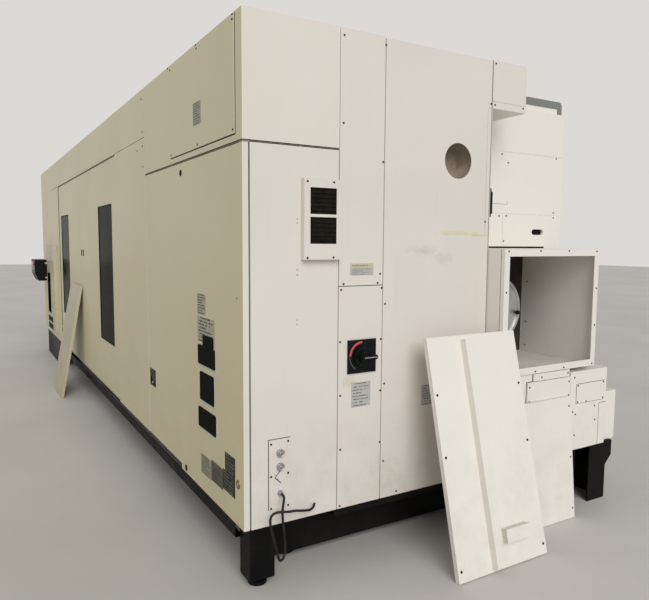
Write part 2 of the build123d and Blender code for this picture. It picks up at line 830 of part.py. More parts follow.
def make_modules():
    """Drive modules in rows on the cabinet's back wall."""
    modules = []
    back = strip_left - 6 - skin - fit
    pitch_x = (cabinet_length - 200) / module_count
    pitch_z = (door_top - low_edge - 160) / module_rows
    for row in range(module_rows):
        for column in range(module_count):
            x0 = -cabinet_length + 120 + column * pitch_x
            z0 = cabinet_low + 110 + row * pitch_z
            body = block(x0, x0 + module_width, back - module_depth, back, z0, z0 + module_height)
            for rib in range(3):
                low = z0 + 40 + rib * 110
                body -= block(x0 + 20, x0 + module_width - 20, back - module_depth - 1,
                              back - module_depth + 12, low, low + 60)
            modules.append(body)
    return Compound(children=modules)


def make_top_cover():
    """Cover over the cabinet: front, end, top, left and back walls, open below."""
    back = strip_left - 2
    cover = pan(-cabinet_length, 0, 0, back, cover_low, height, ("-z",))
    rim = 2 * fold
    ring = block(1 - cabinet_length, -1, 1, back - 1, cover_low, cover_low + skin)
    ring -= block(rim - cabinet_length, -rim, rim, back - rim, cover_low - 1, cover_low + skin + 1)
    cover += ring
    folds = cover.edges().filter_by(Axis.Z).group_by(Axis.X)[-1].group_by(Axis.Y)[0]
    return fillet(folds, bend)


def make_cover_panel():
    """Screwed panel on the front of the top cover."""
    panel = block(cabinet_panel_left, cabinet_panel_right, -skin - fit, -fit, cabinet_panel_low,
                  cabinet_panel_high)
    return chamfer(panel.edges().group_by(Axis.Y)[0], 1)


# Near end face

def make_cabinet_end():
    """End panel beside the cabinet."""
    front = cabinet_door_depth + cabinet_gap
    return end_pan(front, strip_left - 2, low_edge, cover_low - 6)


def make_strips():
    """Two narrow strip panels, one above the other."""
    y0 = strip_left + 2
    y1 = strip_right - 2
    lower = end_pan(y0, y1, low_edge, strip_seam - 2)
    upper = end_pan(y0, y1, strip_seam + 2, height)
    return Compound(children=[lower, upper])


def make_main_end():
    """Main end panel with the round duct hole."""
    right = main_right - 2
    panel = end_pan(strip_right + 2, right, low_edge, main_top)
    wing_low = tall_box_low + 80
    panel -= groove(0, wing_left, wing_left + groove_width, wing_low, corner_box_low)
    for z in (wing_low, corner_box_low):
        panel -= groove(0, wing_left, right + 1, z - groove_width, z)
    return panel - rod("x", -fold - 1, 1, duct_y, duct_z, duct_radius)


def make_corner_box():
    """Top corner box that overhangs the recess, with an upright sheet at the recess's left side."""
    y0 = main_right + 2
    overhang = tall_box_face + fit
    box = pan(overhang, 0, y0, corner_box_right, corner_box_low, height, ("-x",))
    box += pan(-corner_box_depth, overhang + skin, y0, corner_box_right, tall_box_high + fit, height,
               ("-x",))
    box -= block(overhang - 1, -skin, y0 + skin, corner_box_right - skin, tall_box_high + 4 * skin,
                 height - skin)
    seam_z = corner_box_low + corner_box_seam
    box -= groove(0, y0 - 1, corner_box_right + 1, seam_z, seam_z + groove_width)
    return box + block(overhang, 0, y0, y0 + skin, tall_box_low, corner_box_low + 1)


def make_vent():
    """Vent cover: a tray with two windows and a flat lip."""
    cover = pan(fit, vent_depth, vent_left, vent_right, vent_low, vent_high, ("-x",))
    folds = cover.edges().filter_by(Axis.Z).group_by(Axis.X)[-1]
    outer = [e for e in folds if min(abs(e.center().Y - vent_left), abs(e.center().Y - vent_right)) < 0.01]
    cover = fillet(outer, bend)
    for low, high in vent_openings:
        cover -= block(vent_depth - 10, vent_depth + 1, vent_left + vent_margin + 4,
                       vent_right - vent_margin, low, high)
    return cover


def make_filters():
    """Two filter mats behind the vent's windows, with raised ribs."""
    mats = []
    x1 = vent_depth - skin - fit
    for low, high in vent_openings:
        y0 = vent_left + 12
        y1 = vent_right - 12
        mat = block(x1 - filter_depth, x1, y0, y1, low - 6, high + 6)
        count = 6
        pitch = (high - low) / count
        for number in range(count):
            z0 = low + (number + 0.25) * pitch
            mat -= block(x1 - 5, x1 + 1, y0 + 22, y1 - 20, z0, z0 + pitch / 2)
        mats.append(mat)
    return Compound(children=mats)


def make_socket_panel():
    """Small screwed panel with two round capped sockets and a square flap set on its corner."""
    panel = block(fit, sockets_depth, sockets_left, sockets_right, sockets_low, sockets_high)
    for z in socket_heights:
        cap = rod("x", sockets_depth - 1, sockets_depth + socket_depth, socket_y, z, socket_radius)
        panel += chamfer(cap.edges().filter_by(GeomType.CIRCLE).group_by(Axis.X)[-1], 3)
    half = flap_size / 2
    flap = block(sockets_depth - 1, sockets_depth + 6, -half, half, -half, half)
    panel += Pos(0, socket_y + 2, flap_z) * Rot(45, 0, 0) * flap
    return panel


def make_gland():
    """Cable gland: nut and a tapered body with the lead's bore."""
    x0 = sockets_depth + fit
    face = Plane.YZ * RegularPolygon(gland_radius, 6)
    nut = Pos(x0, socket_y, gland_z) * extrude(face, 10)
    body = Pos((x0 + 9 + gland_end) / 2, socket_y, gland_z) * Rot(0, 90, 0) * Cone(
        gland_radius * 0.82, lead_radius + 2.5, gland_end - x0 - 9)
    return nut + body


def make_switch_plate():
    """Square plate of the main switch."""
    half = switch_plate / 2
    plate = block(fit, switch_plate_depth, switch_y - half, switch_y + half,
                  switch_z - half, switch_z + half)
    plate = chamfer(plate.edges().group_by(Axis.X)[-1], 2)
    plate += rod("x", switch_plate_depth - 1, switch_plate_depth + 12, switch_y, switch_z, switch_hub + 22)
    return plate - rod("x", 4, switch_plate_depth + 13, switch_y, switch_z, 10 + pin_clearance)


def make_switch_handle():
    """Rotary handle: shaft, hub and a grip that points to the right."""
    x0 = switch_plate_depth + 12 + fit
    handle = rod("x", 5, x0 + 1, switch_y, switch_z, 10)
    handle += rod("x", x0, x0 + 16, switch_y, switch_z, switch_hub)
    grip = block(x0 + 14, x0 + switch_handle_depth, switch_y - switch_hub, switch_y + switch_handle_length,
                 switch_z - 12, switch_z + 12)
    return handle + fillet(grip.edges().filter_by(Axis.X), 9)


def lead_points():
    """Route of the black lead, chosen along what the photograph shows."""
    return [(gland_end, socket_y, gland_z), (41, socket_y, gland_z), (53, 186, 471), (60, 181, 456),
            (61, 177, 438), (58, 174, 404), (50, 182, 342), (46, 192, 275), (45, 196, 226), (46, 195, 190),
            (53, 185, 172), (65, 168, 165), (77, 152, 172), (84, 141, 190), (84, 133, 224),
            (80, 121, 280), (72, 109, 334), (66, 104, 372), (63, 110, 396), (66, 124, 411),
            (75, 146, 417), (80, 173, 414), (75, 204, 406), (64, 243, 399), (56, 284, 386),
            (48, 317, 378), (44, 335, 374), (42, 349, 378), (41.5, 359, 389), (41.5, 362, 404)]


def bend_radii(points, share=0.45):
    """Radius at each corner of a route: a share of the shorter run over the tangent of half the turn."""
    radii = []
    for before, here, after in zip(points, points[1:], points[2:]):
        into = Vector(*here) - Vector(*before)
        out = Vector(*after) - Vector(*here)
        turn = radians(into.get_angle(out))
        radii.append(share * min(into.length, out.length) / tan(turn / 2))
    return radii


def make_lead():
    """Black lead with a bare end."""
    points = lead_points()
    path = FilletPolyline(*points, radius=bend_radii(points))
    start = Plane(origin=points[0], z_dir=Vector(*points[1]) - Vector(*points[0]))
    return sweep(start * Circle(lead_radius), path)


# Front

def window_hole(x0, x1, extra, y0, y1):
    """Box through a door at its window, wider all round by the given amount."""
    return block(x0 - extra, x1 + extra, y0, y1, window_low - extra, window_high + extra)


def window_span(side):
    """Left and right edge of a window; side is 1 for the right door and -1 for the left."""
    near = door_centre + side * window_from_centre
    away = door_centre + side * (window_from_centre + window_width)
    return min(near, away), max(near, away)


def door_span(side):
    """Left and right edge of a sliding door."""
    inner = door_centre + side * door_gap / 2
    outer = door_centre + side * (door_gap / 2 + front_door_width)
    return min(inner, outer), max(inner, outer)


def make_door(side):
    """Sliding door: folded pan with a window, a glazing frame, a grip cup, hangers and rollers."""
    x0, x1 = door_span(side)
    wx0, wx1 = window_span(side)
    back = door_face + door_depth
    door = front_pan(x0, x1, front_door_low, front_door_high, door_face, door_depth)
    door -= window_hole(wx0, wx1, 0, door_face - 1, door_face + skin + 1)
    ring = window_hole(wx0, wx1, glass_lap + 1 + skin, door_face + 1, back)
    ring -= window_hole(wx0, wx1, glass_lap + 1, door_face, back + 1)
    door += ring
    # stiffening channel behind the meeting edge
    edge = door_centre + side * door_gap / 2
    channel_in = edge + side * 420
    channel_out = edge + side * 470
    cx0, cx1 = min(channel_in, channel_out), max(channel_in, channel_out)
    door += block(cx0, cx1, door_face + 1, back, front_door_low + 1, front_door_high - 1)
    door -= block(cx0 + skin, cx1 - skin, door_face + skin, back - skin, front_door_low - 1,
                  front_door_high + 1)
    door += block(cx0, cx1, door_face + 1, back, front_door_low, front_door_low + skin)
    # grip cup
    gx0 = min(edge + side * grip_from_edge, edge + side * (grip_from_edge + grip_width))
    gx1 = gx0 + grip_width
    gz0 = grip_z - grip_height / 2
    gz1 = grip_z + grip_height / 2
    cup = pan(gx0 - skin, gx1 + skin, door_face, door_face + grip_depth, gz0 - skin, gz1 + skin, ("-y",))
    door -= block(gx0, gx1, door_face - 1, door_face + skin + 1, gz0, gz1)
    door += cup
    # hangers and rollers at the top
    for share in (0.15, 0.85):
        middle = x0 + (x1 - x0) * share
        door += block(middle - hanger_width / 2, middle + hanger_width / 2, back - hanger_depth, back,
                      front_door_high - 60, track_top + roller_radius + 16)
        door += rod("y", back - 1, back + 1 + roller_width, middle, track_top + fit + roller_radius,
                    roller_radius)
    return door


def make_window(side):
    """Window pane seated behind the door's sheet."""
    x0, x1 = window_span(side)
    y0 = door_face + skin + fit
    return window_hole(x0, x1, glass_lap, y0, y0 + glass_depth)


def make_tracks():
    """Upper track that the rollers run on and lower guide behind the doors."""
    x0 = far_face + 100
    x1 = -cabinet_length - seam - beam - 6
    back = door_face + door_depth
    web_y = back + roller_width + 5
    hang = roof_beam_high - fit - beam - fit
    upper = block(x0, x1, web_y, web_y + track_sheet, track_top - 16, hang)
    upper += block(x0, x1, back + 2, web_y + 1, track_top - 16, track_top)
    lower_y = back + 2
    top = cabinet_low
    lower = block(x0, x1, lower_y, lower_y + track_sheet, top, guide_top)
    lower += block(x0, x1, lower_y, front_beam_y + beam - 10, top, top + track_sheet)
    return Compound(children=[upper, lower])


def make_front_right():
    """Fixed front panel between the right door and the cabinet, open on the door's side."""
    x0 = door_span(1)[1] + door_gap
    x1 = -cabinet_length - seam
    panel = pan(x0, x1, 0, fold - 2, front_low, band_low - seam, ("+y", "-x"))
    return panel + block(x1 - skin, x1, 1, front_panel_back, front_low, band_low - seam)


def make_front_left():
    """Fixed front panel beyond the left door, taller beyond the end of the top band."""
    x1 = door_span(-1)[0] - door_gap
    panel = pan(far_face, x1, 0, fold - 2, front_low, band_low - seam, ("+y", "+x"))
    upper = pan(far_face, -far_section - seam / 2, 0, fold - 2, band_low - seam - skin, height, ("+y",))
    upper -= block(far_face + skin, -far_section - seam / 2 - skin, skin, fold, band_low - 20, band_low)
    panel += upper
    tie = block(far_face, far_face + skin, 1, front_panel_back, front_low, band_low - seam)
    tie += block(far_face, far_face + 60, front_panel_back - skin, front_panel_back, front_low,
                 band_low - seam)
    return panel + tie


def make_band():
    """Band along the top of the front."""
    return pan(-far_section + seam / 2, -cabinet_length - seam, 0, fold, band_low, height, ("+y",))


def make_roof():
    """Roof panels: four long ones and one beside the cabinet's cover."""
    panels = []
    x0 = far_face + seam
    x1 = -cabinet_length - seam
    width = (x1 - x0 + seam) / 4
    low = roof_beam_high
    for number in range(4):
        left = x0 + number * width
        panels.append(pan(left, left + width - seam, fold + seam, enclosure_back, low, height, ("-z",)))
    panels.append(pan(x1 + seam, -fold - seam, strip_left + 2, main_right - 2, low, height, ("-z",)))
    return Compound(children=panels)


def make_far_end():
    """Panel that closes the far end, with a round hole for bar stock in line with the spindle."""
    panel = pan(far_face, far_face + post_inset - fit, front_beam_y + seam, enclosure_back - fold - seam,
                front_low, roof_beam_high - seam, ("+x",))
    return panel - rod("x", far_face - 1, far_face + post_inset, spindle_y, spindle_z, bar_hole)


def make_rear_panels():
    """Rear panels side by side, a low one behind the bed's end and an upright sheet above that."""
    panels = []
    x0 = far_face + seam
    x1 = tall_box_far - beam / 2 - seam / 2
    low_end = rear_face - drive_depth - seam
    panels.append(pan(x1 + seam, low_end, enclosure_back - fold, enclosure_back, front_low,
                      tall_box_low - seam, ("-y",)))
    sheet_x = -cabinet_length - seam + fit
    panels.append(block(sheet_x, sheet_x + skin, main_right, enclosure_back - fold - beam - 2 * fit,
                        tall_box_low, roof_beam_high - seam))
    width = (x1 - x0 + seam) / 4
    for number in range(4):
        left = x0 + number * width
        panels.append(pan(left, left + width - seam, enclosure_back - fold, enclosure_back, front_low,
                          roof_beam_high - seam, ("-y",)))
    return Compound(children=panels)


def make_chute():
    """Chip chute and trough: one folded sheet from behind the doors to the foot of the bed."""
    bed_foot = slant_point(tailstock_toe, 0)[0] - 101
    y0 = front_beam_y + beam + 8
    trough = cabinet_low + 20
    points = [(y0, cabinet_low), (y0, chute_top), (chute_bend_y, chute_bend_z), (trough_front, trough),
              (bed_foot, trough), (bed_foot, trough_back)]
    sheet = Plane.YZ * trace(Polyline(*points), 4)
    x0 = headstock_near + 20
    x1 = -cabinet_length - 60
    return Pos(x0, 0, 0) * extrude(sheet, x1 - x0)


# Console and pendant

def make_console():
    """Side console on the far part of the front, with a deep bay, two slots and the pendant's ears."""
    y0 = -console_depth
    body = pan(console_left, console_right, y0, -fit, console_low, console_high, ("+y",))
    bay_left = console_left + bay_margin
    body -= block(bay_left, bay_right, y0 - 1, y0 + skin + 1, bay_low, bay_high)
    body += pan(bay_left - skin, bay_right + skin, y0, y0 + bay_depth, bay_low - skin, bay_high + skin,
                ("-y",))
    for z in slot_heights:
        body -= block(bay_left + 5, slot_right, y0 - 1, y0 + skin + 1, z, z + slot_height)
    axis_x = console_left - knuckle_radius - knuckle_gap
    axis_y = y0 - knuckle_radius
    for z in (pendant_low + 40, pendant_high - 40 - ear_height):
        ear = block(axis_x - knuckle_radius, console_left + 30, axis_y - knuckle_radius, y0 + 1, z,
                    z + ear_height)
        body += ear
        body -= rod("z", z - 1, z + ear_height + 1, axis_x, axis_y, pendant_pin + pin_clearance)
    return body


def make_pendant():
    """Operator's pendant on its hinge barrel, with a sloping lower front and a hole for the stop button."""
    axis_x = console_left - knuckle_radius - knuckle_gap
    axis_y = -console_depth - knuckle_radius
    x1 = axis_x - knuckle_radius - pendant_gap
    x0 = x1 - pendant_width
    back = -console_depth
    front = back - pendant_depth
    outline = [(front, pendant_low + 110), (front + pendant_front_chamfer, pendant_low),
               (back, pendant_low), (back, pendant_high), (front, pendant_high)]
    face = make_face(Polyline(*outline, close=True))
    inside = offset(face, -skin, kind=Kind.INTERSECTION)
    body = Pos(x0, 0, 0) * extrude(Plane.YZ * face, x1 - x0)
    body -= Pos(x0 + skin, 0, 0) * extrude(Plane.YZ * inside, x1 - x0 - 2 * skin)
    body += rod("y", front + 1, front + 40, *stop_place(), stop_stem + skin)
    z0 = pendant_low + 40 + ear_height + fit
    z1 = pendant_high - 40 - ear_height - fit
    body += rod("z", z0, z1, axis_x, axis_y, knuckle_radius)
    body += block(x1 - 1, axis_x, axis_y - 5, axis_y + 5, z0, z1)
    body += rod("z", pendant_low + 42, pendant_high - 42, axis_x, axis_y, pendant_pin)
    return body - rod("y", front - 1, front + 40 - skin, *stop_place(), stop_stem + pin_clearance)


def stop_place():
    """X and Z of the stop button."""
    return console_left - 2 * knuckle_radius - knuckle_gap - pendant_gap - 32, pendant_high - 60


def make_stop_button():
    """Mushroom stop button with its stem."""
    x, z = stop_place()
    front = -console_depth - pendant_depth
    under = front - stop_travel - fit
    head = rod("y", under - 14, under, x, z, stop_radius)
    head = fillet(head.edges().group_by(Axis.Y)[0], 5)
    return head + rod("y", under - 1, under + 40 - skin, x, z, stop_stem)


# Rear boxes at the near end

def make_drive_box():
    """Open box round the feed drive with a front frame of four angle bars; its cover is off."""
    x0 = rear_face - drive_depth
    line = rear_face - drive_frame
    box = pan(x0, line, drive_left, drive_right, drive_low, drive_high, ("+x",))
    step = block(line - groove_width, line + 1, drive_left - 1, drive_right + 1,
                 drive_low - 1, drive_high + 1)
    step -= block(line - groove_width - 1, line + 2, drive_left + groove_depth, drive_right - groove_depth,
                  drive_low + groove_depth, drive_high - groove_depth)
    box -= step
    box -= rod("x", x0 - 1, x0 + skin + 1, wheel_y, wheel_z, screw_radius + 20)
    box -= rod("x", x0 - 1, x0 + skin + 1, motor_y, motor_z, motor_shaft + 8)
    near = line + fit
    under = drive_low + drive_lip
    over = drive_high - drive_lip
    return Compound(children=[
        box,
        pan(near, rear_face, drive_left, drive_right, drive_low, under, ("-x", "+z")),
        pan(near, rear_face, drive_left, drive_right, over, drive_high, ("-x", "-z")),
        pan(near, rear_face, drive_left, drive_left + drive_lip, under + fit, over - fit,
            ("-x", "+y", "-z", "+z")),
        pan(near, rear_face, drive_right - drive_lip, drive_right, under + fit, over - fit,
            ("-x", "-y", "-z", "+z"))])


def make_tall_box():
    """Tall closed box behind the corner box, with a pressed seam line and a grip slot."""
    box = block(tall_box_far, tall_box_face, tall_box_left, tall_box_right, tall_box_low, tall_box_high)
    hollow = block(tall_box_far + skin, tall_box_face - skin, tall_box_left + skin, tall_box_right - skin,
                   tall_box_low + skin, tall_box_high - skin)
    box -= hollow
    for z in tall_box_seams:
        box -= groove(tall_box_face, tall_box_left - 1, tall_box_right + 1, z, z + groove_width)
    box -= groove(tall_box_face, tall_box_split, tall_box_split + groove_width, tall_box_low - 1,
                  tall_box_seams[0] + 1)
    slot = Pos(tall_box_face, grip_slot_y, grip_slot_z) * Rot(0, 90, 0) * Rot(0, 0, 90)
    cup = SlotOverall(grip_slot_width + 2 * skin, grip_slot_height + 2 * skin)
    box += slot * Pos(0, 0, -20) * extrude(cup, 20)
    box -= slot * Pos(0, 0, skin - 20) * extrude(SlotOverall(grip_slot_width, grip_slot_height), 30)
    tray_face = tall_box_face - 27
    return box + block(tray_face - skin, tray_face, tray_left, tray_right, tall_box_high - 1,
                       tall_box_high + tray_height)


def make_grey_housing():
    """Grey housing with one rounded top edge on the tall box."""
    body = block(grey_far, grey_near, grey_left, grey_right, tall_box_high + fit, grey_high)
    body = fillet(body.edges().filter_by(Axis.X).group_by(Axis.Z)[-1].group_by(Axis.Y)[-1], 30)
    return offset(body, -skin, openings=body.faces().sort_by(Axis.Z)[0])


def make_lower_box():
    """Housing under the drive box, with a sill and a screwed plate on its face."""
    x0 = rear_face - drive_depth
    x1 = rear_face - plate_thickness
    box = pan(x0, x1, drive_left, lower_box_right, cabinet_low, drive_low - fit, ("-z",))
    box += block(x1 - 1, rear_face, plate_left + 52, lower_box_right - 17, plate_high, drive_low - fit - 4)
    box += block(x1 - 1, rear_face, plate_left, lower_box_right, plate_low, plate_high - 4)
    return box


def make_side_box():
    """White side box on the rear leg, with its narrow taller wing and a cover plate."""
    x0 = rear_face - drive_depth
    y0 = lower_box_right + seam
    box = pan(x0, rear_face - 2, y0, side_box_right, side_box_low, side_box_high, ("-x", "-z"))
    box += pan(x0, rear_face - 40, side_box_right - skin, narrow_right, side_box_low, narrow_high,
               ("-x", "-z"))
    box -= groove(rear_face - 2, side_box_split, side_box_split + groove_width, side_box_low - 1, 668)
    plate = block(rear_face - 3, rear_face, y0 + 60, side_box_right - 25, 690, 815)
    return box + plate


def make_rear_leg():
    """Black leg frame: front plate with a gusset, side rails and a floor pad."""
    top = side_box_low - fit
    side = rear_leg_right - 60
    gusset = [(rear_leg_left, 0), (side, 0), (side, 225), (rear_leg_right, 285), (rear_leg_right, top),
              (rear_leg_left, top)]
    leg = bar_profile(gusset, rear_leg_front - plate_thickness, rear_leg_front)
    leg += bar_profile(gusset, rear_leg_far, rear_leg_far + plate_thickness)
    leg += block(rear_leg_far, rear_leg_front, side - plate_thickness, side, 0, top)
    y0 = base_back + fit
    leg += block(rear_leg_far, rear_leg_front, y0, rear_leg_right, top - plate_thickness, top)
    leg += block(rear_leg_far, rear_leg_far + plate_thickness, y0, rear_leg_left + 1, base_low, top)
    return leg + block(rear_leg_far, rear_leg_front, y0, y0 + plate_thickness, base_low, top)


# Covers taken off

def lean(panel, foot, wall, long):
    """Lean a panel, drawn upright from the origin with its back at X = 0, back against a wall."""
    angle = degrees(asin((foot - wall) / long))
    return Pos(foot, 0, 0) * Rot(0, -angle, 0) * panel


def make_large_cover():
    """Large cover: sheet with returns on its machine side, one stiffener and a small box on its face."""
    wide = large_cover_width
    long = large_cover_length
    panel = pan(0, fold, 0, wide, 0, long, ("-x",))
    y0 = stiffener_from_edge
    panel += block(fold - 1, fold + stiffener_height, y0, y0 + stiffener_width, 22, long - 25)
    panel += block(fold - 1, fold + 42, 325, 500, 130, 200)
    for y in (22, wide - 22):
        for z in (55, long / 2, long - 300):
            panel -= Pos(fold, y, z) * Rot(0, 90, 0) * Cylinder(5.5, 20)
    return Pos(0, large_cover_left, 0) * lean(panel, large_cover_foot, rear_face + fit, long)


def make_second_cover():
    """Second cover: plain sheet with returns, leaning on the lower housing's plate."""
    panel = pan(0, fold, 0, second_cover_width, 0, second_cover_length, ("-x",))
    for z in (60, second_cover_length / 2, second_cover_length - 60):
        panel -= Pos(fold, second_cover_width - 18, z) * Rot(0, 90, 0) * Cylinder(4.5, 20)
    return Pos(0, second_cover_left, 0) * lean(
        panel, second_cover_foot, rear_face + fit, second_cover_length)


def make_narrow_cover():
    """Narrow cover leaning on the left front door."""
    panel = pan(0, fold, 0, narrow_cover_width, 0, narrow_cover_length, ("-x",))
    leaned = lean(panel, -narrow_cover_foot, -door_face + fit, narrow_cover_length)
    return Pos(narrow_cover_left, 0, 0) * Rot(0, 0, -90) * leaned


parts = {
    "bed": make_bed(),
    "base_frame": make_frame(),
    "levelling_feet": make_feet(),
    "far_plinth": make_plinth(),
    "headstock": make_headstock(),
    "feed_motor": make_motor(),
    "drive_belt": make_drive_belt(),
    "cabinet_shell": make_cabinet(),
    "drive_modules": make_modules(),
    "cabinet_top_cover": make_top_cover(),
    "top_cover_panel": make_cover_panel(),
    "end_panel_cabinet": make_cabinet_end(),
    "end_strips": make_strips(),
    "end_panel_main": make_main_end(),
    "corner_box": make_corner_box(),
    "tall_rear_box": make_tall_box(),
    "grey_housing": make_grey_housing(),
    "drive_box": make_drive_box(),
    "lower_rear_box": make_lower_box(),
    "side_box": make_side_box(),
    "rear_leg": make_rear_leg(),
    "large_cover": make_large_cover(),
    "second_cover": make_second_cover(),
    "narrow_cover": make_narrow_cover(),
    "vent_cover": make_vent(),
    "vent_filters": make_filters(),
    "socket_panel": make_socket_panel(),
    "cable_gland": make_gland(),
    "power_lead": make_lead(),
    "switch_plate": make_switch_plate(),
    "front_panel_right": make_front_right(),
    "front_panel_left": make_front_left(),
    "front_top_band": make_band(),
    "far_end_panel": make_far_end(),
    "roof_panels": make_roof(),
    "rear_panels": make_rear_panels(),
    "door_tracks": make_tracks(),
    "chip_chute": make_chute(),
    "side_console": make_console(),
    "cabinet_door": make_cabinet_door(),
    "door_latch": make_latch(),
    "switch_handle": make_switch_handle(),
    "door_right": make_door(1),
    "window_right": make_window(1),
    "door_left": make_door(-1),
    "window_left": make_window(-1),
    "pendant": make_pendant(),
    "stop_button": make_stop_button(),
    "carriage": make_carriage(),
    "cross_slide": make_cross_slide(),
    "turret": make_turret(),
    "feed_screw": make_feed_screw(),
    "drive_wheel": make_drive_wheel(),
    "motor_wheel": make_motor_wheel(),
    "chuck": make_chuck(),
    "jaw_1": make_jaw(0),
    "jaw_2": make_jaw(1),
    "jaw_3": make_jaw(2),
    "tailstock": make_tailstock(),
    "live_centre": make_live_centre(),
}

# Origin at the bottom centre of the machine's box
boxes = [shape.bounding_box() for shape in parts.values()]
shift_x = -(min(b.min.X for b in boxes) + max(b.max.X for b in boxes)) / 2
shift_y = -(min(b.min.Y for b in boxes) + max(b.max.Y for b in boxes)) / 2

move = Pos(shift_x, shift_y, 0)
os.makedirs("parts", exist_ok=True)
for name, shape in parts.items():
    solids = [move * solid for solid in shape.solids()]
    export_step(Compound(children=solids), os.path.join("parts", name + ".step"))

print("lead radii", [round(r) for r in bend_radii(lead_points())])
print("moved by", round(shift_x, 3), round(shift_y, 3))
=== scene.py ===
# %% [markdown]
# A long turning centre for heavy shafts, dressed for a plain studio picture.
# The sheet metal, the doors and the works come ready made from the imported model.
# This lesson adds what the eye looks for after that: paint, rubber, glass, screws, plates and the light.
# Every number is in metres, in the model's own frame, so a piece goes exactly where the metal is.

# %% Load the machine and measure it
import math
import bmesh
import bpy
import numpy as np
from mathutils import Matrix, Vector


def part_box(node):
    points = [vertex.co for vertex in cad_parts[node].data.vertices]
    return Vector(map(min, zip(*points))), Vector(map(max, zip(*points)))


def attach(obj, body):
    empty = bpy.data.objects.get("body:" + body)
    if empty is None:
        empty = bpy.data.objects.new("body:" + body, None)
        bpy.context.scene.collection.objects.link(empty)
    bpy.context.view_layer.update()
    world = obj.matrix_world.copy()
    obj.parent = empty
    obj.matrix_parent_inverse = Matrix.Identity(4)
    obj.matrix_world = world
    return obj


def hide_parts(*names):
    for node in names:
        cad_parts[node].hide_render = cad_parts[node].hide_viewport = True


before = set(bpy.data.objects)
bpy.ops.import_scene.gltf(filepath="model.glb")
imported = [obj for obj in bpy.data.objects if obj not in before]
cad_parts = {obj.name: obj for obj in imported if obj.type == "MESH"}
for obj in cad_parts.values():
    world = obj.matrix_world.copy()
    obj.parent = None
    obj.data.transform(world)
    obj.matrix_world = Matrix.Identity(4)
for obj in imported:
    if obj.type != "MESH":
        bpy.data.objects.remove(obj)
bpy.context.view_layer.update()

cover_low, cover_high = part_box("cabinet_top_cover")
near_corner = np.array([cover_high.x, cover_low.y, 0.0])

# %% [markdown]
# Distances on the machine are easiest to read from its near front corner, on the floor.
# One small helper moves such points into the model's frame, and every later cell uses it.
# A second one puts new data, such as a mesh or a lamp, into the scene as an object.

# %% Points counted from the near front corner
def place(points):
    """Points counted from the near front corner on the floor, moved into the model's frame: p + corner."""
    return np.asarray(points, float) + near_corner


def linked(name, data):
    """New object that holds the data, linked to the scene."""
    made = bpy.data.objects.new(name, data)
    bpy.context.scene.collection.objects.link(made)
    return made


print("near front corner at", near_corner.round(3))

# %% [markdown]
# The camera stands where the photographer stood: at eye height, a little in front of the near corner.
# A lens is a focal length against a sensor width, so the picture's width in pixels gives the lens.
# The small turn about the line of sight comes last, because it is measured in the picture.

# %% Camera
picture_width = 649
focal_pixels = 613.2
turn_left = math.radians(59.51)
look_down = math.radians(5.25)
roll = math.radians(0.36)

camera_data = bpy.data.cameras.new("eye")
camera_data.sensor_width = 36.0
camera_data.lens = focal_pixels * camera_data.sensor_width / picture_width
camera_data.clip_end = 200.0
camera = linked("eye", camera_data)
camera.location = place([2.625, -1.108, 1.700])
camera.rotation_euler = (math.pi / 2 - look_down, 0.0, turn_left)
camera.rotation_euler.rotate_axis("Z", roll)
bpy.context.scene.camera = camera
print("lens", round(camera_data.lens, 2), "mm")

# %% [markdown]
# The black lead comes out of its gland level, drops, turns up again near the floor of the panel,
# loops once and ends bare. A cord is a curve with a round bevel: a NURBS spline leans on its control
# points without touching them, which is how a stiff lead rounds its corners. The order is set after
# the points, because before that the spline has too few points to be smooth.

# %% The lead's curve
lead_radius = 0.00625
lead_route = np.array([
    (26.3, 188, 479), (41, 188, 479), (53, 186, 471), (60, 181, 456), (61, 177, 438), (58, 174, 404),
    (50, 182, 342), (46, 192, 275), (45, 196, 226), (46, 195, 190), (53, 185, 172), (65, 168, 165),
    (77, 152, 172), (84, 141, 190), (84, 133, 224), (80, 121, 280), (72, 109, 334), (66, 104, 372),
    (63, 110, 396), (66, 124, 411), (75, 146, 417), (80, 173, 414), (75, 204, 406), (64, 243, 399),
    (56, 284, 386), (48, 317, 378), (44, 335, 374), (42, 349, 378), (41.5, 359, 389),
    (41.5, 362, 404)]) / 1000


def cord_curve(name, points, radius):
    """A tube of one radius round a smooth line that leans on the given points."""
    curve = bpy.data.curves.new(name, "CURVE")
    curve.dimensions = "3D"
    curve.bevel_depth = radius
    curve.bevel_resolution = 5
    curve.resolution_u = 10
    curve.use_fill_caps = True
    spline = curve.splines.new("NURBS")
    spline.points.add(len(points) - 1)
    spline.points.foreach_set("co", np.column_stack([points, np.ones(len(points))]).ravel())
    spline.order_u = 3
    spline.use_endpoint_u = True
    return linked(name, curve)


lead_points = place(lead_route)
power_lead = cord_curve("black_lead", lead_points, lead_radius)
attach(power_lead, "machine")
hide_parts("power_lead")
print("lead control points", len(lead_points))

# %% [markdown]
# Flat and turned pieces alike are grids of points. A grid's faces follow from its size alone: each joins
# four neighbours, and round a turned piece the last row joins the first. The floor is the plainest
# grid of all, one large sheet.

# %% Grids and the floor
def grid_faces(rows, columns, closed=False):
    """Four-sided faces of a grid, as point numbers; a closed grid joins its last row to its first."""
    number = np.arange(rows * columns).reshape(rows, columns)
    number = np.vstack([number, number[:1]]) if closed else number
    return np.stack([number[:-1, :-1], number[1:, :-1], number[1:, 1:], number[:-1, 1:]], -1).reshape(-1, 4)


def mesh_object(name, points, faces):
    """Mesh object from whole arrays of points and faces."""
    mesh = bpy.data.meshes.new(name)
    mesh.from_pydata(np.asarray(points).tolist(), [], [list(map(int, face)) for face in faces])
    return linked(name, mesh)


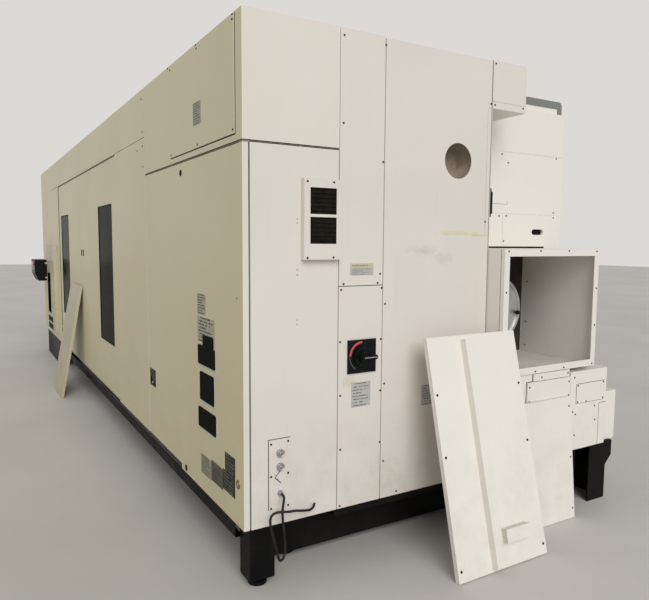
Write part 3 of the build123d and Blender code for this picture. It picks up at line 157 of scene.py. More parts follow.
span = np.linspace(-45.0, 45.0, 3)
floor_grid = np.stack([*np.meshgrid(span, span, indexing="ij"), np.zeros((3, 3))], -1)
floor = mesh_object("floor", floor_grid.reshape(-1, 3), grid_faces(3, 3))
print("floor", span[-1] - span[0], "m across")

# %% [markdown]
# Light, paint, rubber and steel are node trees. Small helpers keep the trees readable: one adds a node
# with its inputs in a single call, others make a sum, a product or a ramp. An input may be a number,
# a colour or another node's output, so a tree reads from top to bottom.

# %% Helpers for node trees
def wire(tree, node, values):
    """Give a node its inputs: each is a number, a colour, or the output socket of another node."""
    for key, value in values.items():
        if isinstance(value, bpy.types.NodeSocket):
            tree.links.new(value, node.inputs[key])
        else:
            node.inputs[key].default_value = value


def add(tree, kind, inputs=None, **settings):
    """Add one node with its settings and inputs."""
    node = tree.nodes.new("ShaderNode" + kind)
    for key, value in settings.items():
        setattr(node, key, value)
    wire(tree, node, inputs or {})
    return node


def sums(tree, operation, first, second=0.0, clamp=False):
    """Output of one Math node."""
    return add(tree, "Math", {0: first, 1: second}, operation=operation, use_clamp=clamp).outputs[0]


def times(tree, first, *others):
    """Product of values, with one Math node for each further value."""
    for other in others:
        first = sums(tree, "MULTIPLY", first, other)
    return first


def ramp(tree, value, low, high, to_low=0.0, to_high=1.0):
    """Value between low and high, spread over to_low and to_high, held at both ends."""
    return add(tree, "MapRange", {"Value": value, "From Min": low, "From Max": high,
                                  "To Min": to_low, "To Max": to_high}, clamp=True).outputs[0]


print("node helpers:", ", ".join(helper.__name__ for helper in (wire, add, sums, times, ramp)))

# %% [markdown]
# The light is a wide soft sky with one broad lamp. The lamp stands off the near end, so the end panels
# are bright and the long front falls back, which shows the corner between them. Only camera, mirror
# and glass rays see the pale backdrop: the light on the paint stays at a plain level.

# %% Light
lamp_data = bpy.data.lights.new("broad_lamp", "SUN")
lamp_data.energy = 1.75
lamp_data.angle = math.radians(40)
lamp = linked("broad_lamp", lamp_data)
east, north, above = 0.85, -0.22, 0.55
lamp.rotation_euler = (math.atan2(math.hypot(east, north), above), 0.0, math.atan2(east, -north))

sky = bpy.data.worlds.new("studio")
bpy.context.scene.world = sky
sky.use_nodes = True
sky_tree = sky.node_tree
sky_tree.nodes.clear()
soft_light = add(sky_tree, "Background", {"Color": (1.0, 0.985, 0.96, 1.0), "Strength": 0.42})
backdrop = add(sky_tree, "Background", {"Color": (0.71, 0.70, 0.68, 1.0)})
ray = add(sky_tree, "LightPath").outputs
seen = sums(sky_tree, "MAXIMUM", ray["Is Camera Ray"], ray["Is Glossy Ray"])
seen = sums(sky_tree, "MAXIMUM", seen, ray["Is Transmission Ray"])
chosen = add(sky_tree, "MixShader", {"Fac": seen, 1: soft_light.outputs[0], 2: backdrop.outputs[0]})
add(sky_tree, "OutputWorld", {"Surface": chosen.outputs[0]})
bpy.context.scene.view_settings.view_transform = "Standard"
print("lamp strength", lamp_data.energy, "over a sky of", len(sky_tree.nodes), "nodes")

# %% [markdown]
# Dirt and wear are patterns in space. They read a point's place in the piece's own space, so a pattern
# stays on a door that swings, and a noise gives each point a number from 0 to 1. Colours are written
# as they look on a screen, because that is how they are read off a picture. A pattern that many
# finishes share is a node group, with its own inputs and outputs.

# %% Patterns, colours and groups
def own_place(tree):
    """The point in the piece's own space."""
    return add(tree, "TexCoord").outputs["Object"]


def stretched(tree, at, scale):
    """The point with each axis multiplied by its scale, which draws a pattern out or in."""
    return add(tree, "Mapping", {"Vector": at, "Scale": scale}).outputs[0]


def noise(tree, at, scale, detail=2.0, rough=0.5):
    """Noise pattern, 0 to 1: cells of 1 / scale, broken up by finer and finer layers."""
    values = {"Vector": at, "Scale": scale, "Detail": detail, "Roughness": rough}
    return add(tree, "TexNoise", values).outputs[0]


def colour(red, green, blue):
    """Colour given as it looks on a screen, 0 to 255, turned into the linear value that a shader takes."""
    shown = np.array([red, green, blue]) / 255
    linear = np.where(shown <= 0.04045, shown / 12.92, ((shown + 0.055) / 1.055) ** 2.4)
    return (*linear.round(4).tolist(), 1.0)


def mixed(tree, mask, *pair):
    """Colour that goes from the pair's first to its second as the mask goes from 0 to 1."""
    under, over = (colour(*given) if isinstance(given, tuple) else given for given in pair)
    return add(tree, "Mix", {0: mask, 6: under, 7: over}, data_type="RGBA").outputs[2]


def new_group(name, inputs, outputs):
    """Shader node group with inputs (name, value) and outputs: the group, its inputs and its output node."""
    group = bpy.data.node_groups.new(name, "ShaderNodeTree")
    kinds = {float: "Float", 3: "Vector", 4: "Color"}
    for label, value in inputs.items():
        kind = kinds[float if isinstance(value, float) else len(value)]
        socket = group.interface.new_socket(label, in_out="INPUT", socket_type="NodeSocket" + kind)
        socket.default_value = value
    for label in outputs:
        kind = "Color" if label == "Color" else "Float"
        group.interface.new_socket(label, in_out="OUTPUT", socket_type="NodeSocket" + kind)
    return group, group.nodes.new("NodeGroupInput").outputs, group.nodes.new("NodeGroupOutput")


print("pale paint is", colour(224, 219, 209)[:3])

# %% [markdown]
# Old paint on a machine that has stood in a workshop is never one colour. Five things change it:
# first a painted shade, a darker and warmer tint on faces to the front, which stands in for the shade
# on the long front; then soft clouds of soiling, thin runs that dried on the way down, a grey band of
# dirt near the floor, and dust on whatever faces up. Each is a mask, from a noise pattern stretched to
# the right shape or from the way a face looks.
# The way a face looks is read in the piece's own space, so a door keeps its paint when it swings.
# They are one group, because every painted panel uses them with its own colours.

# %% Soiled paint group
def make_soiled_paint():
    """Painted shade on faces to the front; then clouds + runs + floor dirt + dust, each times its amount."""
    group, given, out = new_group("soiled_paint", {
        "Paint": (0.8, 0.78, 0.7, 1), "Soil": (0.2, 0.18, 0.13, 1), "Shade tint": (0.7, 0.64, 0.42, 1),
        "Front shade": 0.0, "Clouds": 0.25, "Runs": 0.3, "Floor dirt": 0.5, "Dust": 0.4},
        ["Color", "Roughness", "Height"])
    own = add(group, "TexCoord").outputs
    at = own["Object"]
    facing = add(group, "SeparateXYZ", {0: own["Normal"]}).outputs
    height = add(group, "SeparateXYZ", {0: at}).outputs[2]
    # Painted shade: faces to the front turn to the darker, warmer shade tint, times the given amount.
    front_shade = times(group, ramp(group, facing[1], -0.5, -0.9), given["Front shade"])
    broad = noise(group, at, 0.9, 5.0, 0.6)
    clouds = times(group, ramp(group, broad, 0.42, 0.75), given["Clouds"])
    thin = noise(group, stretched(group, at, (11.0, 11.0, 0.45)), 2.6, 4.0, 0.55)
    runs = times(group, ramp(group, thin, 0.62, 0.80), given["Runs"], ramp(group, broad, 0.40, 0.60))
    patchy = noise(group, at, 6.0, 6.0, 0.65)
    low = times(group, ramp(group, height, 0.28, 1.15, 1.0, 0.0), ramp(group, patchy, 0.30, 0.62))
    low = times(group, sums(group, "POWER", low, 1.6), given["Floor dirt"])
    dust = times(group, ramp(group, facing[2], 0.55, 0.95), given["Dust"],
                 ramp(group, patchy, 0.25, 0.60, 0.45, 1.0))
    mask = sums(group, "ADD", sums(group, "ADD", clouds, runs), sums(group, "ADD", low, dust), clamp=True)
    speck = noise(group, at, 34.0, 3.0, 0.7)
    mask = sums(group, "ADD", mask, ramp(group, speck, 0.70, 0.80, 0.0, 0.16), clamp=True)
    peel = noise(group, at, 420.0)
    paint = mixed(group, front_shade, given["Paint"], given["Shade tint"])
    wire(group, out, {"Color": mixed(group, mask, paint, given["Soil"]),
                      "Roughness": ramp(group, mask, 0.0, 1.0, 0.40, 0.85),
                      "Height": sums(group, "ADD", times(group, peel, 0.35), mask)})
    return group


soiled_paint = make_soiled_paint()
print("group", soiled_paint.name, "with", len(soiled_paint.nodes), "nodes")

# %% [markdown]
# A folded edge loses its paint first. A Bevel node looks a few millimetres round each point,
# so where its normal turns away from the surface's own, there is an edge. Broken up by a fine noise,
# that gives chips and rubbed corners instead of a drawn line.

# %% Edge wear group
def make_edge_wear():
    """Mask = (1 - bevelled normal . normal), spread and broken by noise, times the amount."""
    group, given, out = new_group("edge_wear", {"Amount": 0.5, "Width": 0.004}, ["Mask"])
    at = own_place(group)
    soft = add(group, "Bevel", {"Radius": given["Width"]}, samples=4).outputs[0]
    true = add(group, "NewGeometry").outputs["Normal"]
    turn = add(group, "VectorMath", {0: soft, 1: true}, operation="DOT_PRODUCT").outputs["Value"]
    broken = ramp(group, noise(group, at, 60.0, 5.0, 0.7), 0.44, 0.62)
    chips = times(group, ramp(group, turn, 0.995, 0.86), broken)
    wire(group, out, {"Mask": sums(group, "MULTIPLY", chips, given["Amount"], clamp=True)})
    return group


edge_wear = make_edge_wear()
print("group", edge_wear.name, "with", len(edge_wear.nodes), "nodes")

# %% [markdown]
# A hand, a rag or a chalk line leaves a single mark. One group draws any of them: the distance from a
# centre, counted in half sizes, falls from 1 to 0 towards the rim, and a noise frays that rim.

# %% Smear group
def make_smear():
    """Mask from 1 to 0 as the length of (p - centre) / half size, frayed by noise, nears 1."""
    group, given, out = new_group(
        "smear", {"Centre": (0, 0, 0), "Half size": (0.1, 0.1, 0.1), "Amount": 0.5}, ["Mask"])
    at = own_place(group)
    away = add(group, "VectorMath", {0: at, 1: given["Centre"]}, operation="SUBTRACT").outputs[0]
    away = add(group, "VectorMath", {0: away, 1: given["Half size"]}, operation="DIVIDE").outputs[0]
    far = add(group, "VectorMath", {0: away}, operation="LENGTH").outputs["Value"]
    fray = ramp(group, noise(group, at, 26.0, 4.0, 0.65), 0.3, 0.7, -0.45, 0.45)
    far = sums(group, "ADD", far, fray)
    wire(group, out, {"Mask": times(group, ramp(group, far, 1.0, 0.35), given["Amount"])})
    return group


smear = make_smear()
print("group", smear.name, "with", len(smear.nodes), "nodes")

# %% [markdown]
# Painted sheet metal puts the groups one after another: soiled paint, then its single smears, then bare
# metal where the edge wear says so. Each mask also tells the shine and the bump, so dirt is dull and a
# chip lies lower than the paint round it.

# %% Painted sheet metal
# The front's painted shade: a darker, warmer tint than the pale paint, put on faces to the front.
front_shade_tint = colour(218, 208, 172)
looks = {}


def new_material(name):
    """Put a new material among the looks: its node tree and its shader."""
    made = looks[name] = bpy.data.materials.new(name)
    made.use_nodes = True
    return made.node_tree, made.node_tree.nodes["Principled BSDF"]


def use_group(tree, group, values):
    """Outputs of a node group, placed with its own values."""
    return add(tree, "Group", values, node_tree=group).outputs


def bump(tree, shader, height, depth, strength):
    """Turn the shader's normal by a height map: height times depth, in metres."""
    made = add(tree, "Bump", {"Height": height, "Distance": depth, "Strength": strength})
    wire(tree, shader, {"Normal": made.outputs[0]})


def painted(name, paint, soil, clouds=0.25, runs=0.3, floor_dirt=0.5, dust=0.4, worn=0.5,
            bare=(120, 110, 95), width=0.004, coat=0.12, front_shade=0.0, smears=(), shine=0.5):
    """Soiled paint with rubbed edges: paint, soil, single smears, then bare metal by edge wear."""
    tree, shader = new_material(name)
    soiled = use_group(tree, soiled_paint, {
        "Paint": colour(*paint), "Soil": colour(*soil), "Shade tint": front_shade_tint, "Front shade": front_shade,
        "Clouds": clouds, "Runs": runs, "Floor dirt": floor_dirt, "Dust": dust})
    shown = soiled["Color"]
    for centre, half, tint, amount in smears:
        values = {"Centre": place(centre), "Half size": half, "Amount": amount}
        shown = mixed(tree, use_group(tree, smear, values)["Mask"], shown, tint)
    wear = use_group(tree, edge_wear, {"Amount": worn, "Width": width})["Mask"]
    wire(tree, shader, {"Base Color": mixed(tree, wear, shown, bare),
                        "Roughness": soiled["Roughness"], "Specular IOR Level": shine,
                        "Coat Weight": coat, "Coat Roughness": 0.25})
    bump(tree, shader, sums(tree, "SUBTRACT", soiled["Height"], wear), 0.00018, 0.5)


print("paint groups:", soiled_paint.name, smear.name, edge_wear.name)

# %% [markdown]
# Each paint is that one function with its own colours and amounts. The end is white with a few single
# marks, the front carries a painted shade in a darker, warmer tint, and the cast parts inside have the
# most soil and wear. A mark is given by its centre, half size, colour and amount.

# %% The machine's paints
end_smears = [((0, 1.340, 1.762), (0.05, 0.20, 0.014), (214, 204, 140), 0.60),
              ((0, 1.470, 1.752), (0.05, 0.09, 0.008), (206, 194, 128), 0.50),
              ((0, 0.600, 0.985), (0.05, 0.055, 0.045), (206, 196, 164), 0.50),
              ((0, 1.060, 1.665), (0.05, 0.110, 0.030), (160, 156, 148), 0.28),
              ((0, 1.200, 1.620), (0.05, 0.090, 0.045), (180, 176, 166), 0.25)]
painted("end_paint", (228, 222, 214), (158, 150, 134), clouds=0.12, runs=0.12, floor_dirt=0.26,
        worn=0.35, smears=end_smears)
# Painted shade: the front paint takes the full shade tint on every face to the front.
painted("front_paint", (229, 223, 214), (134, 126, 102), clouds=0.08, runs=0.06,
        floor_dirt=0.12, worn=0.35, front_shade=1.0)
# Painted shade: the narrow cover's paint is a darker copy of the front's shade tint, for a cover in shade.
painted("narrow_shade_paint", (192, 184, 156), (120, 112, 90), clouds=0.10, runs=0.06,
        floor_dirt=0.16, worn=0.35)
painted("box_paint", (238, 234, 226), (166, 158, 142), clouds=0.08, runs=0.08, floor_dirt=0.16,
        worn=0.35)
painted("inner_paint", (206, 200, 184), (92, 84, 64), clouds=0.55, runs=0.7, floor_dirt=0.5)
painted("grey_enamel", (128, 129, 126), (70, 66, 56), clouds=0.3, worn=0.6)
painted("cast_enamel", (120, 126, 122), (52, 46, 34), clouds=0.7, runs=0.6, worn=0.8,
        bare=(88, 84, 78), width=0.008)
painted("frame_black", (13, 14, 15), (34, 32, 28), clouds=0.30, runs=0.2, floor_dirt=0.45,
        dust=0.3, worn=0.25, bare=(60, 56, 50), coat=0.0, shine=0.08)
painted("plinth_black", (34, 33, 31), (66, 61, 52), clouds=0.4, floor_dirt=0.6, worn=0.3,
        coat=0.0, shine=0.1)
painted("module_grey", (92, 95, 98), (60, 58, 52), clouds=0.2, floor_dirt=0.0, worn=0.2)
# Painted shade: the side console's paint is the front's shade tint made darker, so its side towards the lamp
# stays dim.
painted("console_shade_paint", (196, 188, 158), (110, 102, 82), clouds=0.18, worn=0.4)
print("paints", list(looks))

# %% [markdown]
# Bare steel is the opposite of paint: its colour hardly changes, but its shine does. Fine lines along
# the machine come from a noise squeezed to threads, and oil leaves darker, smoother patches.

# %% Steel, alloy and galvanised sheet
def bare_metal(name, tint, dull, roughness, threads, oil=0.35):
    """Metal whose roughness follows thread-like noise along one axis and whose colour follows oil patches."""
    tree, shader = new_material(name)
    at = own_place(tree)
    grain = noise(tree, stretched(tree, at, threads), 1.0, 4.0, 0.6)
    stained = times(tree, ramp(tree, noise(tree, at, 7.0, 5.0, 0.6), 0.45, 0.70), oil)
    spread = ramp(tree, grain, 0.30, 0.70, roughness - 0.10, roughness + 0.12)
    wire(tree, shader, {"Base Color": mixed(tree, stained, tint, dull), "Metallic": 1.0,
                        "Roughness": sums(tree, "SUBTRACT", spread, times(tree, stained, 0.12))})
    bump(tree, shader, grain, 0.00006, 0.4)


for name, *values in (
        ("machined_steel", (188, 187, 184), (96, 88, 74), 0.30, (3.0, 260.0, 260.0)),
        ("ground_steel", (205, 204, 200), (130, 118, 96), 0.20, (2.0, 420.0, 420.0), 0.2),
        ("wheel_alloy", (226, 226, 223), (150, 144, 130), 0.50, (240.0, 30.0, 30.0), 0.25),
        ("galvanised", (176, 178, 178), (118, 116, 108), 0.42, (26.0, 26.0, 26.0), 0.5),
        ("brass", (158, 132, 84), (104, 82, 44), 0.32, (300.0, 300.0, 300.0), 0.5),
        ("blackened_steel", (58, 54, 50), (30, 26, 22), 0.36, (240.0, 240.0, 240.0), 0.5)):
    bare_metal(name, *values)
print("finishes so far:", len(looks))

# %% [markdown]
# Rubber and plastic differ in grain, shine and in how much dust they hold, so one function with a row
# of numbers for each of them makes all of them.

# %% Rubber and plastic
def dull_plastic(name, tint, dusted, roughness, grain_scale, depth, dust=0.3, shine=0.3):
    """Moulded or rubber surface: a fine grain as bump and a thin uneven film of dust."""
    tree, shader = new_material(name)
    at = own_place(tree)
    mask = times(tree, ramp(tree, noise(tree, at, 14.0, 5.0, 0.65), 0.42, 0.72), dust)
    wire(tree, shader, {"Base Color": mixed(tree, mask, tint, dusted),
                        "Roughness": ramp(tree, mask, 0.0, 1.0, roughness, 0.9),
                        "Specular IOR Level": shine})
    bump(tree, shader, noise(tree, at, grain_scale, 3.0), depth, 0.6)


for name, *values in (
        ("lead_rubber", (20, 20, 21), (62, 60, 56), 0.48, 900.0, 0.00010, 0.35),
        ("belt_rubber", (26, 26, 27), (70, 68, 64), 0.62, 700.0, 0.00015, 0.4),
        ("black_plastic", (14, 16, 17), (48, 49, 48), 0.36, 1200.0, 0.00006, 0.15, 0.15),
        ("cover_black", (9, 9, 8), (32, 31, 27), 0.60, 900.0, 0.00008, 0.15, 0.04),
        ("stop_red", (186, 28, 24), (120, 50, 42), 0.28, 1100.0, 0.00004, 0.25),
        ("dial_red", (214, 84, 84), (150, 90, 86), 0.35, 1100.0, 0.00004, 0.2),
        ("dial_grey", (88, 92, 92), (64, 64, 62), 0.40, 1100.0, 0.00004, 0.2),
        # Dark rubber also serves as painted shade: the strips in the gaps and the plate in the rear grip.
        ("dark_rubber_and_shade", (20, 19, 18), (48, 44, 38), 0.60, 500.0, 0.00010, 0.3, 0.1),
        # The dark liner is painted shade, a sheet on the drive box's shaded back wall.
        ("shade_liner", (56, 53, 46), (78, 72, 60), 0.70, 60.0, 0.00030, 0.5, 0.1),
        ("duct_lining", (158, 144, 128), (112, 98, 82), 0.70, 60.0, 0.00020, 0.8),
        ("line_grey", (150, 144, 134), (110, 104, 94), 0.60, 500.0, 0.00008, 0.4),
        ("key_grey", (150, 152, 148), (110, 108, 100), 0.45, 900.0, 0.00004, 0.3),
        # The pale blank is plate stock, and also a painted highlight on the switch handle.
        ("label_blank_and_highlight", (206, 204, 196), (160, 156, 144), 0.50, 300.0, 0.00003, 0.4)):
    dull_plastic(name, *values)
print("finishes so far:", len(looks))

# %% [markdown]
# The filter mat is fleece, so its fibres are a noise squeezed more along one axis than the others.
# Glass is dark and hardly bends the light, with a thin film of oil that dulls its mirror.

# %% Filter mat and glass
def make_filter_mat():
    """Dark open fleece: stretched noise for the fibres, with clogged dust between them."""
    tree, shader = new_material("filter_fleece")
    at = own_place(tree)
    fibres = noise(tree, stretched(tree, at, (60.0, 520.0, 160.0)), 1.0, 5.0, 0.7)
    clog = ramp(tree, noise(tree, at, 24.0, 5.0, 0.7), 0.35, 0.70, 0.2, 1.0)
    mask = times(tree, ramp(tree, fibres, 0.40, 0.68), clog)
    wire(tree, shader, {"Base Color": mixed(tree, mask, (20, 17, 14), (62, 58, 44)),
                        "Roughness": 0.95, "Specular IOR Level": 0.1})
    bump(tree, shader, fibres, 0.0012, 0.9)


def dark_glass(name, clear, filmed, smooth, dulled, **more):
    """Dark glass with a thin uneven film: colour and roughness go from clear to filmed."""
    tree, shader = new_material(name)
    film = noise(tree, own_place(tree), 5.0, 6.0, 0.6)
    wire(tree, shader, {"Base Color": mixed(tree, ramp(tree, film, 0.35, 0.70), clear, filmed),
                        "Roughness": ramp(tree, film, 0.35, 0.70, smooth, dulled), **more})


make_filter_mat()
dark_glass("window_glass", (60, 61, 56), (46, 46, 38), 0.05, 0.18,
           **{"Transmission Weight": 0.85, "IOR": 1.04})
dark_glass("screen_glass", (14, 18, 20), (34, 36, 34), 0.08, 0.25)
print("finishes so far:", len(looks))

# %% [markdown]
# The stickers and rating plates carry no words here, only rows of short bars, as print looks from a
# few steps away. A row is the place within v times the number of rows; the bars are a noise along u,
# shifted for each row; and a random number for each row sets where it ends. The pattern reads each
# plate's own flat coordinates, so it stays inside the plate.

# %% Printed plates
def make_printed_rows():
    """Rows of short bars: inside the row's band, before the row's end, and where a noise along u is high."""
    group, given, out = new_group("printed_rows", {"Rows": 7.0, "Thickness": 0.3}, ["Mask"])
    flat = add(group, "SeparateXYZ", {0: add(group, "TexCoord").outputs["UV"]}).outputs
    tall = times(group, flat[1], given["Rows"])
    number = sums(group, "FLOOR", tall)
    within = sums(group, "FRACT", tall)
    band = times(group, sums(group, "GREATER_THAN", within, 0.34),
                 sums(group, "LESS_THAN", within, sums(group, "ADD", given["Thickness"], 0.34)))
    chance = add(group, "TexWhiteNoise", {"W": number}, noise_dimensions="1D").outputs["Value"]
    ends = times(group, sums(group, "GREATER_THAN", flat[0], 0.08),
                 sums(group, "LESS_THAN", flat[0], ramp(group, chance, 0.0, 1.0, 0.55, 0.93)))
    bars = add(group, "CombineXYZ", {0: times(group, flat[0], 16.0), 1: times(group, number, 3.7)}).outputs[0]
    broken = sums(group, "GREATER_THAN", noise(group, bars, 1.0), 0.44)
    wire(group, out, {"Mask": times(group, band, ends, broken)})
    return group


def printed(name, ground, ink, rows, thickness):
    """Flat print: ground colour, ink where the rows are, and a faint film of dust over both."""
    tree, shader = new_material(name)
    mask = use_group(tree, printed_rows, {"Rows": rows, "Thickness": thickness})["Mask"]
    film = noise(tree, own_place(tree), 18.0, 4.0)
    shown = mixed(tree, mask, ground, ink)
    shown = mixed(tree, ramp(tree, film, 0.50, 0.75, 0.0, 0.35), shown, (150, 144, 128))
    wire(tree, shader, {"Base Color": shown, "Roughness": ramp(tree, film, 0.3, 0.7, 0.34, 0.54),
                        "Specular IOR Level": 0.2})


printed_rows = make_printed_rows()
for name, *values in (
        ("label_stock", (186, 186, 182), (96, 98, 100), 8.0, 0.32),
        ("label_head", (196, 193, 166), (150, 148, 128), 1.0, 0.3),
        ("label_door", (180, 173, 152), (52, 48, 42), 8.0, 0.46),
        ("label_grey", (158, 154, 138), (84, 82, 74), 9.0, 0.35),
        ("rating_pale", (152, 148, 126), (46, 44, 38), 11.0, 0.42),
        ("rating_grey", (80, 79, 68), (34, 33, 28), 12.0, 0.42),
        ("rating_dark", (16, 17, 16), (112, 111, 98), 6.0, 0.26)):
    printed(name, *values)
print("finishes with the prints:", len(looks))

# %% [markdown]
# Every piece of metal that came with the model now gets its finish. The table reads like a paint shop's
# list: one line for each finish, with the pieces that wear it.

# %% Finishes on the machine's own pieces
finishes = {
    "end_paint": "end_panel_cabinet end_strips end_panel_main corner_box vent_cover socket_panel "
                 "roof_panels rear_panels far_end_panel",
    "box_paint": "tall_rear_box lower_rear_box side_box large_cover second_cover drive_box",
    "inner_paint": "cabinet_shell chip_chute",
    "front_paint": "cabinet_top_cover top_cover_panel front_panel_right front_panel_left front_top_band "
                   "cabinet_door door_right door_left",
    "narrow_shade_paint": "narrow_cover",
    "console_shade_paint": "side_console",
    "grey_enamel": "grey_housing feed_motor",
    "cast_enamel": "bed headstock carriage cross_slide tailstock",
    "frame_black": "base_frame rear_leg levelling_feet",
    "plinth_black": "far_plinth",
    "module_grey": "drive_modules",
    "machined_steel": "turret chuck door_tracks",
    "ground_steel": "feed_screw jaw_1 jaw_2 jaw_3 live_centre",
    "wheel_alloy": "drive_wheel motor_wheel",
    "belt_rubber": "drive_belt",
    "galvanised": "cable_gland",
    "black_plastic": "switch_plate switch_handle door_latch pendant",
    "stop_red": "stop_button",
    "filter_fleece": "vent_filters",
    "window_glass": "window_right window_left",
}
for finish, names in finishes.items():
    for name in names.split():
        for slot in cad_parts[name].material_slots:
            slot.material = looks[finish]
power_lead.data.materials.append(looks["lead_rubber"])
finished = " ".join(finishes.values()).split() + ["power_lead"]
print("pieces without a finish:", sorted(set(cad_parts) - set(finished)))

# %% [markdown]
# The floor is plain, but not dead flat in tone: a faint cloud keeps it from looking like paper.

# %% Floor finish
def make_floor_finish():
    """Pale sealed floor: broad clouds between two close greys, with a fine grain as bump."""
    tree, shader = new_material("pale_floor")
    at = own_place(tree)
    broad = ramp(tree, noise(tree, at, 0.5, 6.0, 0.6), 0.3, 0.7)
    wire(tree, shader, {"Base Color": mixed(tree, broad, (206, 203, 198), (194, 191, 186)),
                        "Roughness": 0.75})
    bump(tree, shader, noise(tree, at, 60.0, 3.0), 0.0004, 0.3)


make_floor_finish()
floor.data.materials.append(looks["pale_floor"])
print("floor finish", floor.data.materials[0].name)

# %% [markdown]
# Screws, plates and seals all lie on flat panels, so they are drawn flat first, as on paper:
# u to the right, v up, and h out of the sheet. A face is an origin and three directions, and one
# product of arrays takes every drawn point to the machine. On the end panels u is the way back along
# the end, on the front u runs along the machine, and v is the height above the floor on both.

# %% Faces to draw on
def face_at(origin, across, up=(0.0, 0.0, 1.0)):
    """A face to draw on: its origin, then the directions across, up and out, where out = across x up."""
    return np.array(origin, float), np.array([across, up, np.cross(across, up)], float)


def end_at(x):
    """Face parallel to the near end, at x."""
    return face_at((x, 0, 0), (0, 1, 0))


def front_at(y):
    """Face parallel to the front, at y."""
    return face_at((0, y, 0), (1, 0, 0))


def on_face(face, drawn):
    """Drawn points (u, v, h) taken to the machine: origin + u * across + v * up + h * out."""
    origin, directions = face
    return place(origin + np.asarray(drawn, float) @ directions)


def leaning_face(foot, side, rest, slope, thick=0.028):
    """Outer face of a sheet whose foot stands off the wall and whose top rests on it, slope metres up."""
    angle = math.asin((foot - rest) / slope)
    out = np.array([math.cos(angle), 0.0, math.sin(angle)])
    up = (-math.sin(angle), 0.0, math.cos(angle))
    return face_at(np.array([foot, side, 0.0]) + thick * out, (0, 1, 0), up)


end_face = end_at(0)
vent_face = end_at(0.035)
socket_face = end_at(0.004)
switch_face = end_at(0.010)
rim_face = end_at(0.130)
side_box_face = end_at(0.128)
tall_face = end_at(-0.300)
front_face = front_at(0)
door_face = front_at(0.008)
cover_panel_face = front_at(-0.0033)
box_side_face = front_at(1.552)
inner_wall_face = front_at(2.392)
rear_face = face_at((0, 2.330, 0), (-1, 0, 0))
cover_rest = 0.1303
large_face = leaning_face(0.428, 0.964, cover_rest, 1.240)
second_face = leaning_face(0.200, 1.700, cover_rest, 0.760)
print("out of the leaning cover:", large_face[1][2].round(3))

# %% [markdown]
# A screw head is a turned piece: half of its outline, from the foot up and in to the bottom of its
# socket, goes once round a circle. There are more than a hundred of them, so one small grid is copied
# to every centre by adding arrays, and all the heads on one body become one mesh. Twelve sides are
# plenty for a head that is a centimetre wide on a machine of eight metres.

# %% Turned pieces and copies
def turned(profile, sides):
    """Profile (radius, height) carried once round a circle: (r cos a, r sin a, h) for each angle a."""
    radius, height = np.array(profile).T
    angle = np.linspace(0, 2 * np.pi, sides, endpoint=False)[:, None]
    return np.stack([np.cos(angle) * radius, np.sin(angle) * radius, height + 0 * angle], -1)


def copies(grid, face, centres):
    """One small grid at many centres (u, v) of a face, taken to the machine: centre + grid."""
    centres = np.array([(u, v, 0.0) for u, v in centres])
    return on_face(face, grid + centres[:, None, None, :])


def dressed(piece, material, body, smooth=False):
    """Weld doubled points, give the piece its finish, and let it ride on its body."""
    shell = bmesh.new()
    shell.from_mesh(piece.data)
    bmesh.ops.remove_doubles(shell, verts=shell.verts, dist=1e-6)
    shell.to_mesh(piece.data)
    shell.free()
    piece.data.polygons.foreach_set("use_smooth", np.full(len(piece.data.polygons), smooth))
    piece.data.materials.append(looks[material])
    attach(piece, body)
    return piece


def joined(name, grids, material, body="machine", closed=True, smooth=False):
    """One object from many grids of one size: the faces of the first, counted on for each further grid."""
    grids = np.concatenate(grids) if isinstance(grids, list) else grids
    count, rows, columns = grids.shape[:3]
    faces = grid_faces(rows, columns, closed)[None] + (np.arange(count) * rows * columns)[:, None, None]
    piece = mesh_object(name, grids.reshape(-1, 3), faces.reshape(-1, 4))
    return dressed(piece, material, body, smooth)


def fitting(name, profile, sides, face, centres, material, body="machine", smooth=True):
    """Turned piece at one or more centres of a face."""
    return joined(name, copies(turned(profile, sides), face, centres), material, body, smooth=smooth)


screw_head = turned([(0.0056, 0), (0.0056, 0.0012), (0.0046, 0.0026), (0.0033, 0.0030), (0.0028, 0.0013),
                     (0.0, 0.0013)], 12)
small_head = screw_head * 0.62
large_head = screw_head * 1.25
print("points in one screw head:", screw_head.shape[0] * screw_head.shape[1])

# %% [markdown]
# The screws' places were read off the panels, as (u, v) on each face. A row of screws that repeats, as
# on the leaning covers, is a product of two short lists.

# %% Screws of the near end
end_screws = [(.784, 2.122), (.775, 1.544), (.549, 1.497), (.760, 1.497), (.535, 1.467), (.786, 1.470),
              (.810, 1.384), (.531, 1.201), (.785, 1.198), (.812, .955), (.786, .920), (.534, .921),
              (.537, .635), (.788, .637), (.813, .527), (.537, .334), (.905, .339), (.542, 2.715),
              (.541, 2.295), (.792, 2.709), (1.538, 2.504), (1.518, 1.832)]
corner_screws = [(1.568, 2.733), (1.570, 2.502), (1.800, 2.506)]
vent_screws = [(.320, 1.996), (.467, 1.998), (.321, 1.631), (.467, 1.633)]
socket_screws = [(.140, .730), (.233, .733), (.140, .568), (.233, .571), (.140, .407), (.233, .407)]
rim_screws = [(1.583, 1.662), (1.849, 1.665), (2.103, 1.665), (2.370, 1.662), (1.572, 1.426),
              (1.572, 1.190), (1.580, .940), (1.840, .940), (2.098, .940), (2.370, .940), (2.380, 1.426),
              (2.380, 1.190)]
plate_screws = [(1.797, .845), (1.796, .757), (2.155, .845), (2.156, .758), (1.900, .898), (2.140, .901)]
side_screws = [(2.210, .862), (2.229, .484), (2.205, .640), (2.232, .620), (2.420, .655), (2.430, .560)]
side_plate_screws = [(2.246, .806), (2.246, .700), (2.500, .806), (2.500, .700), (2.330, .696)]
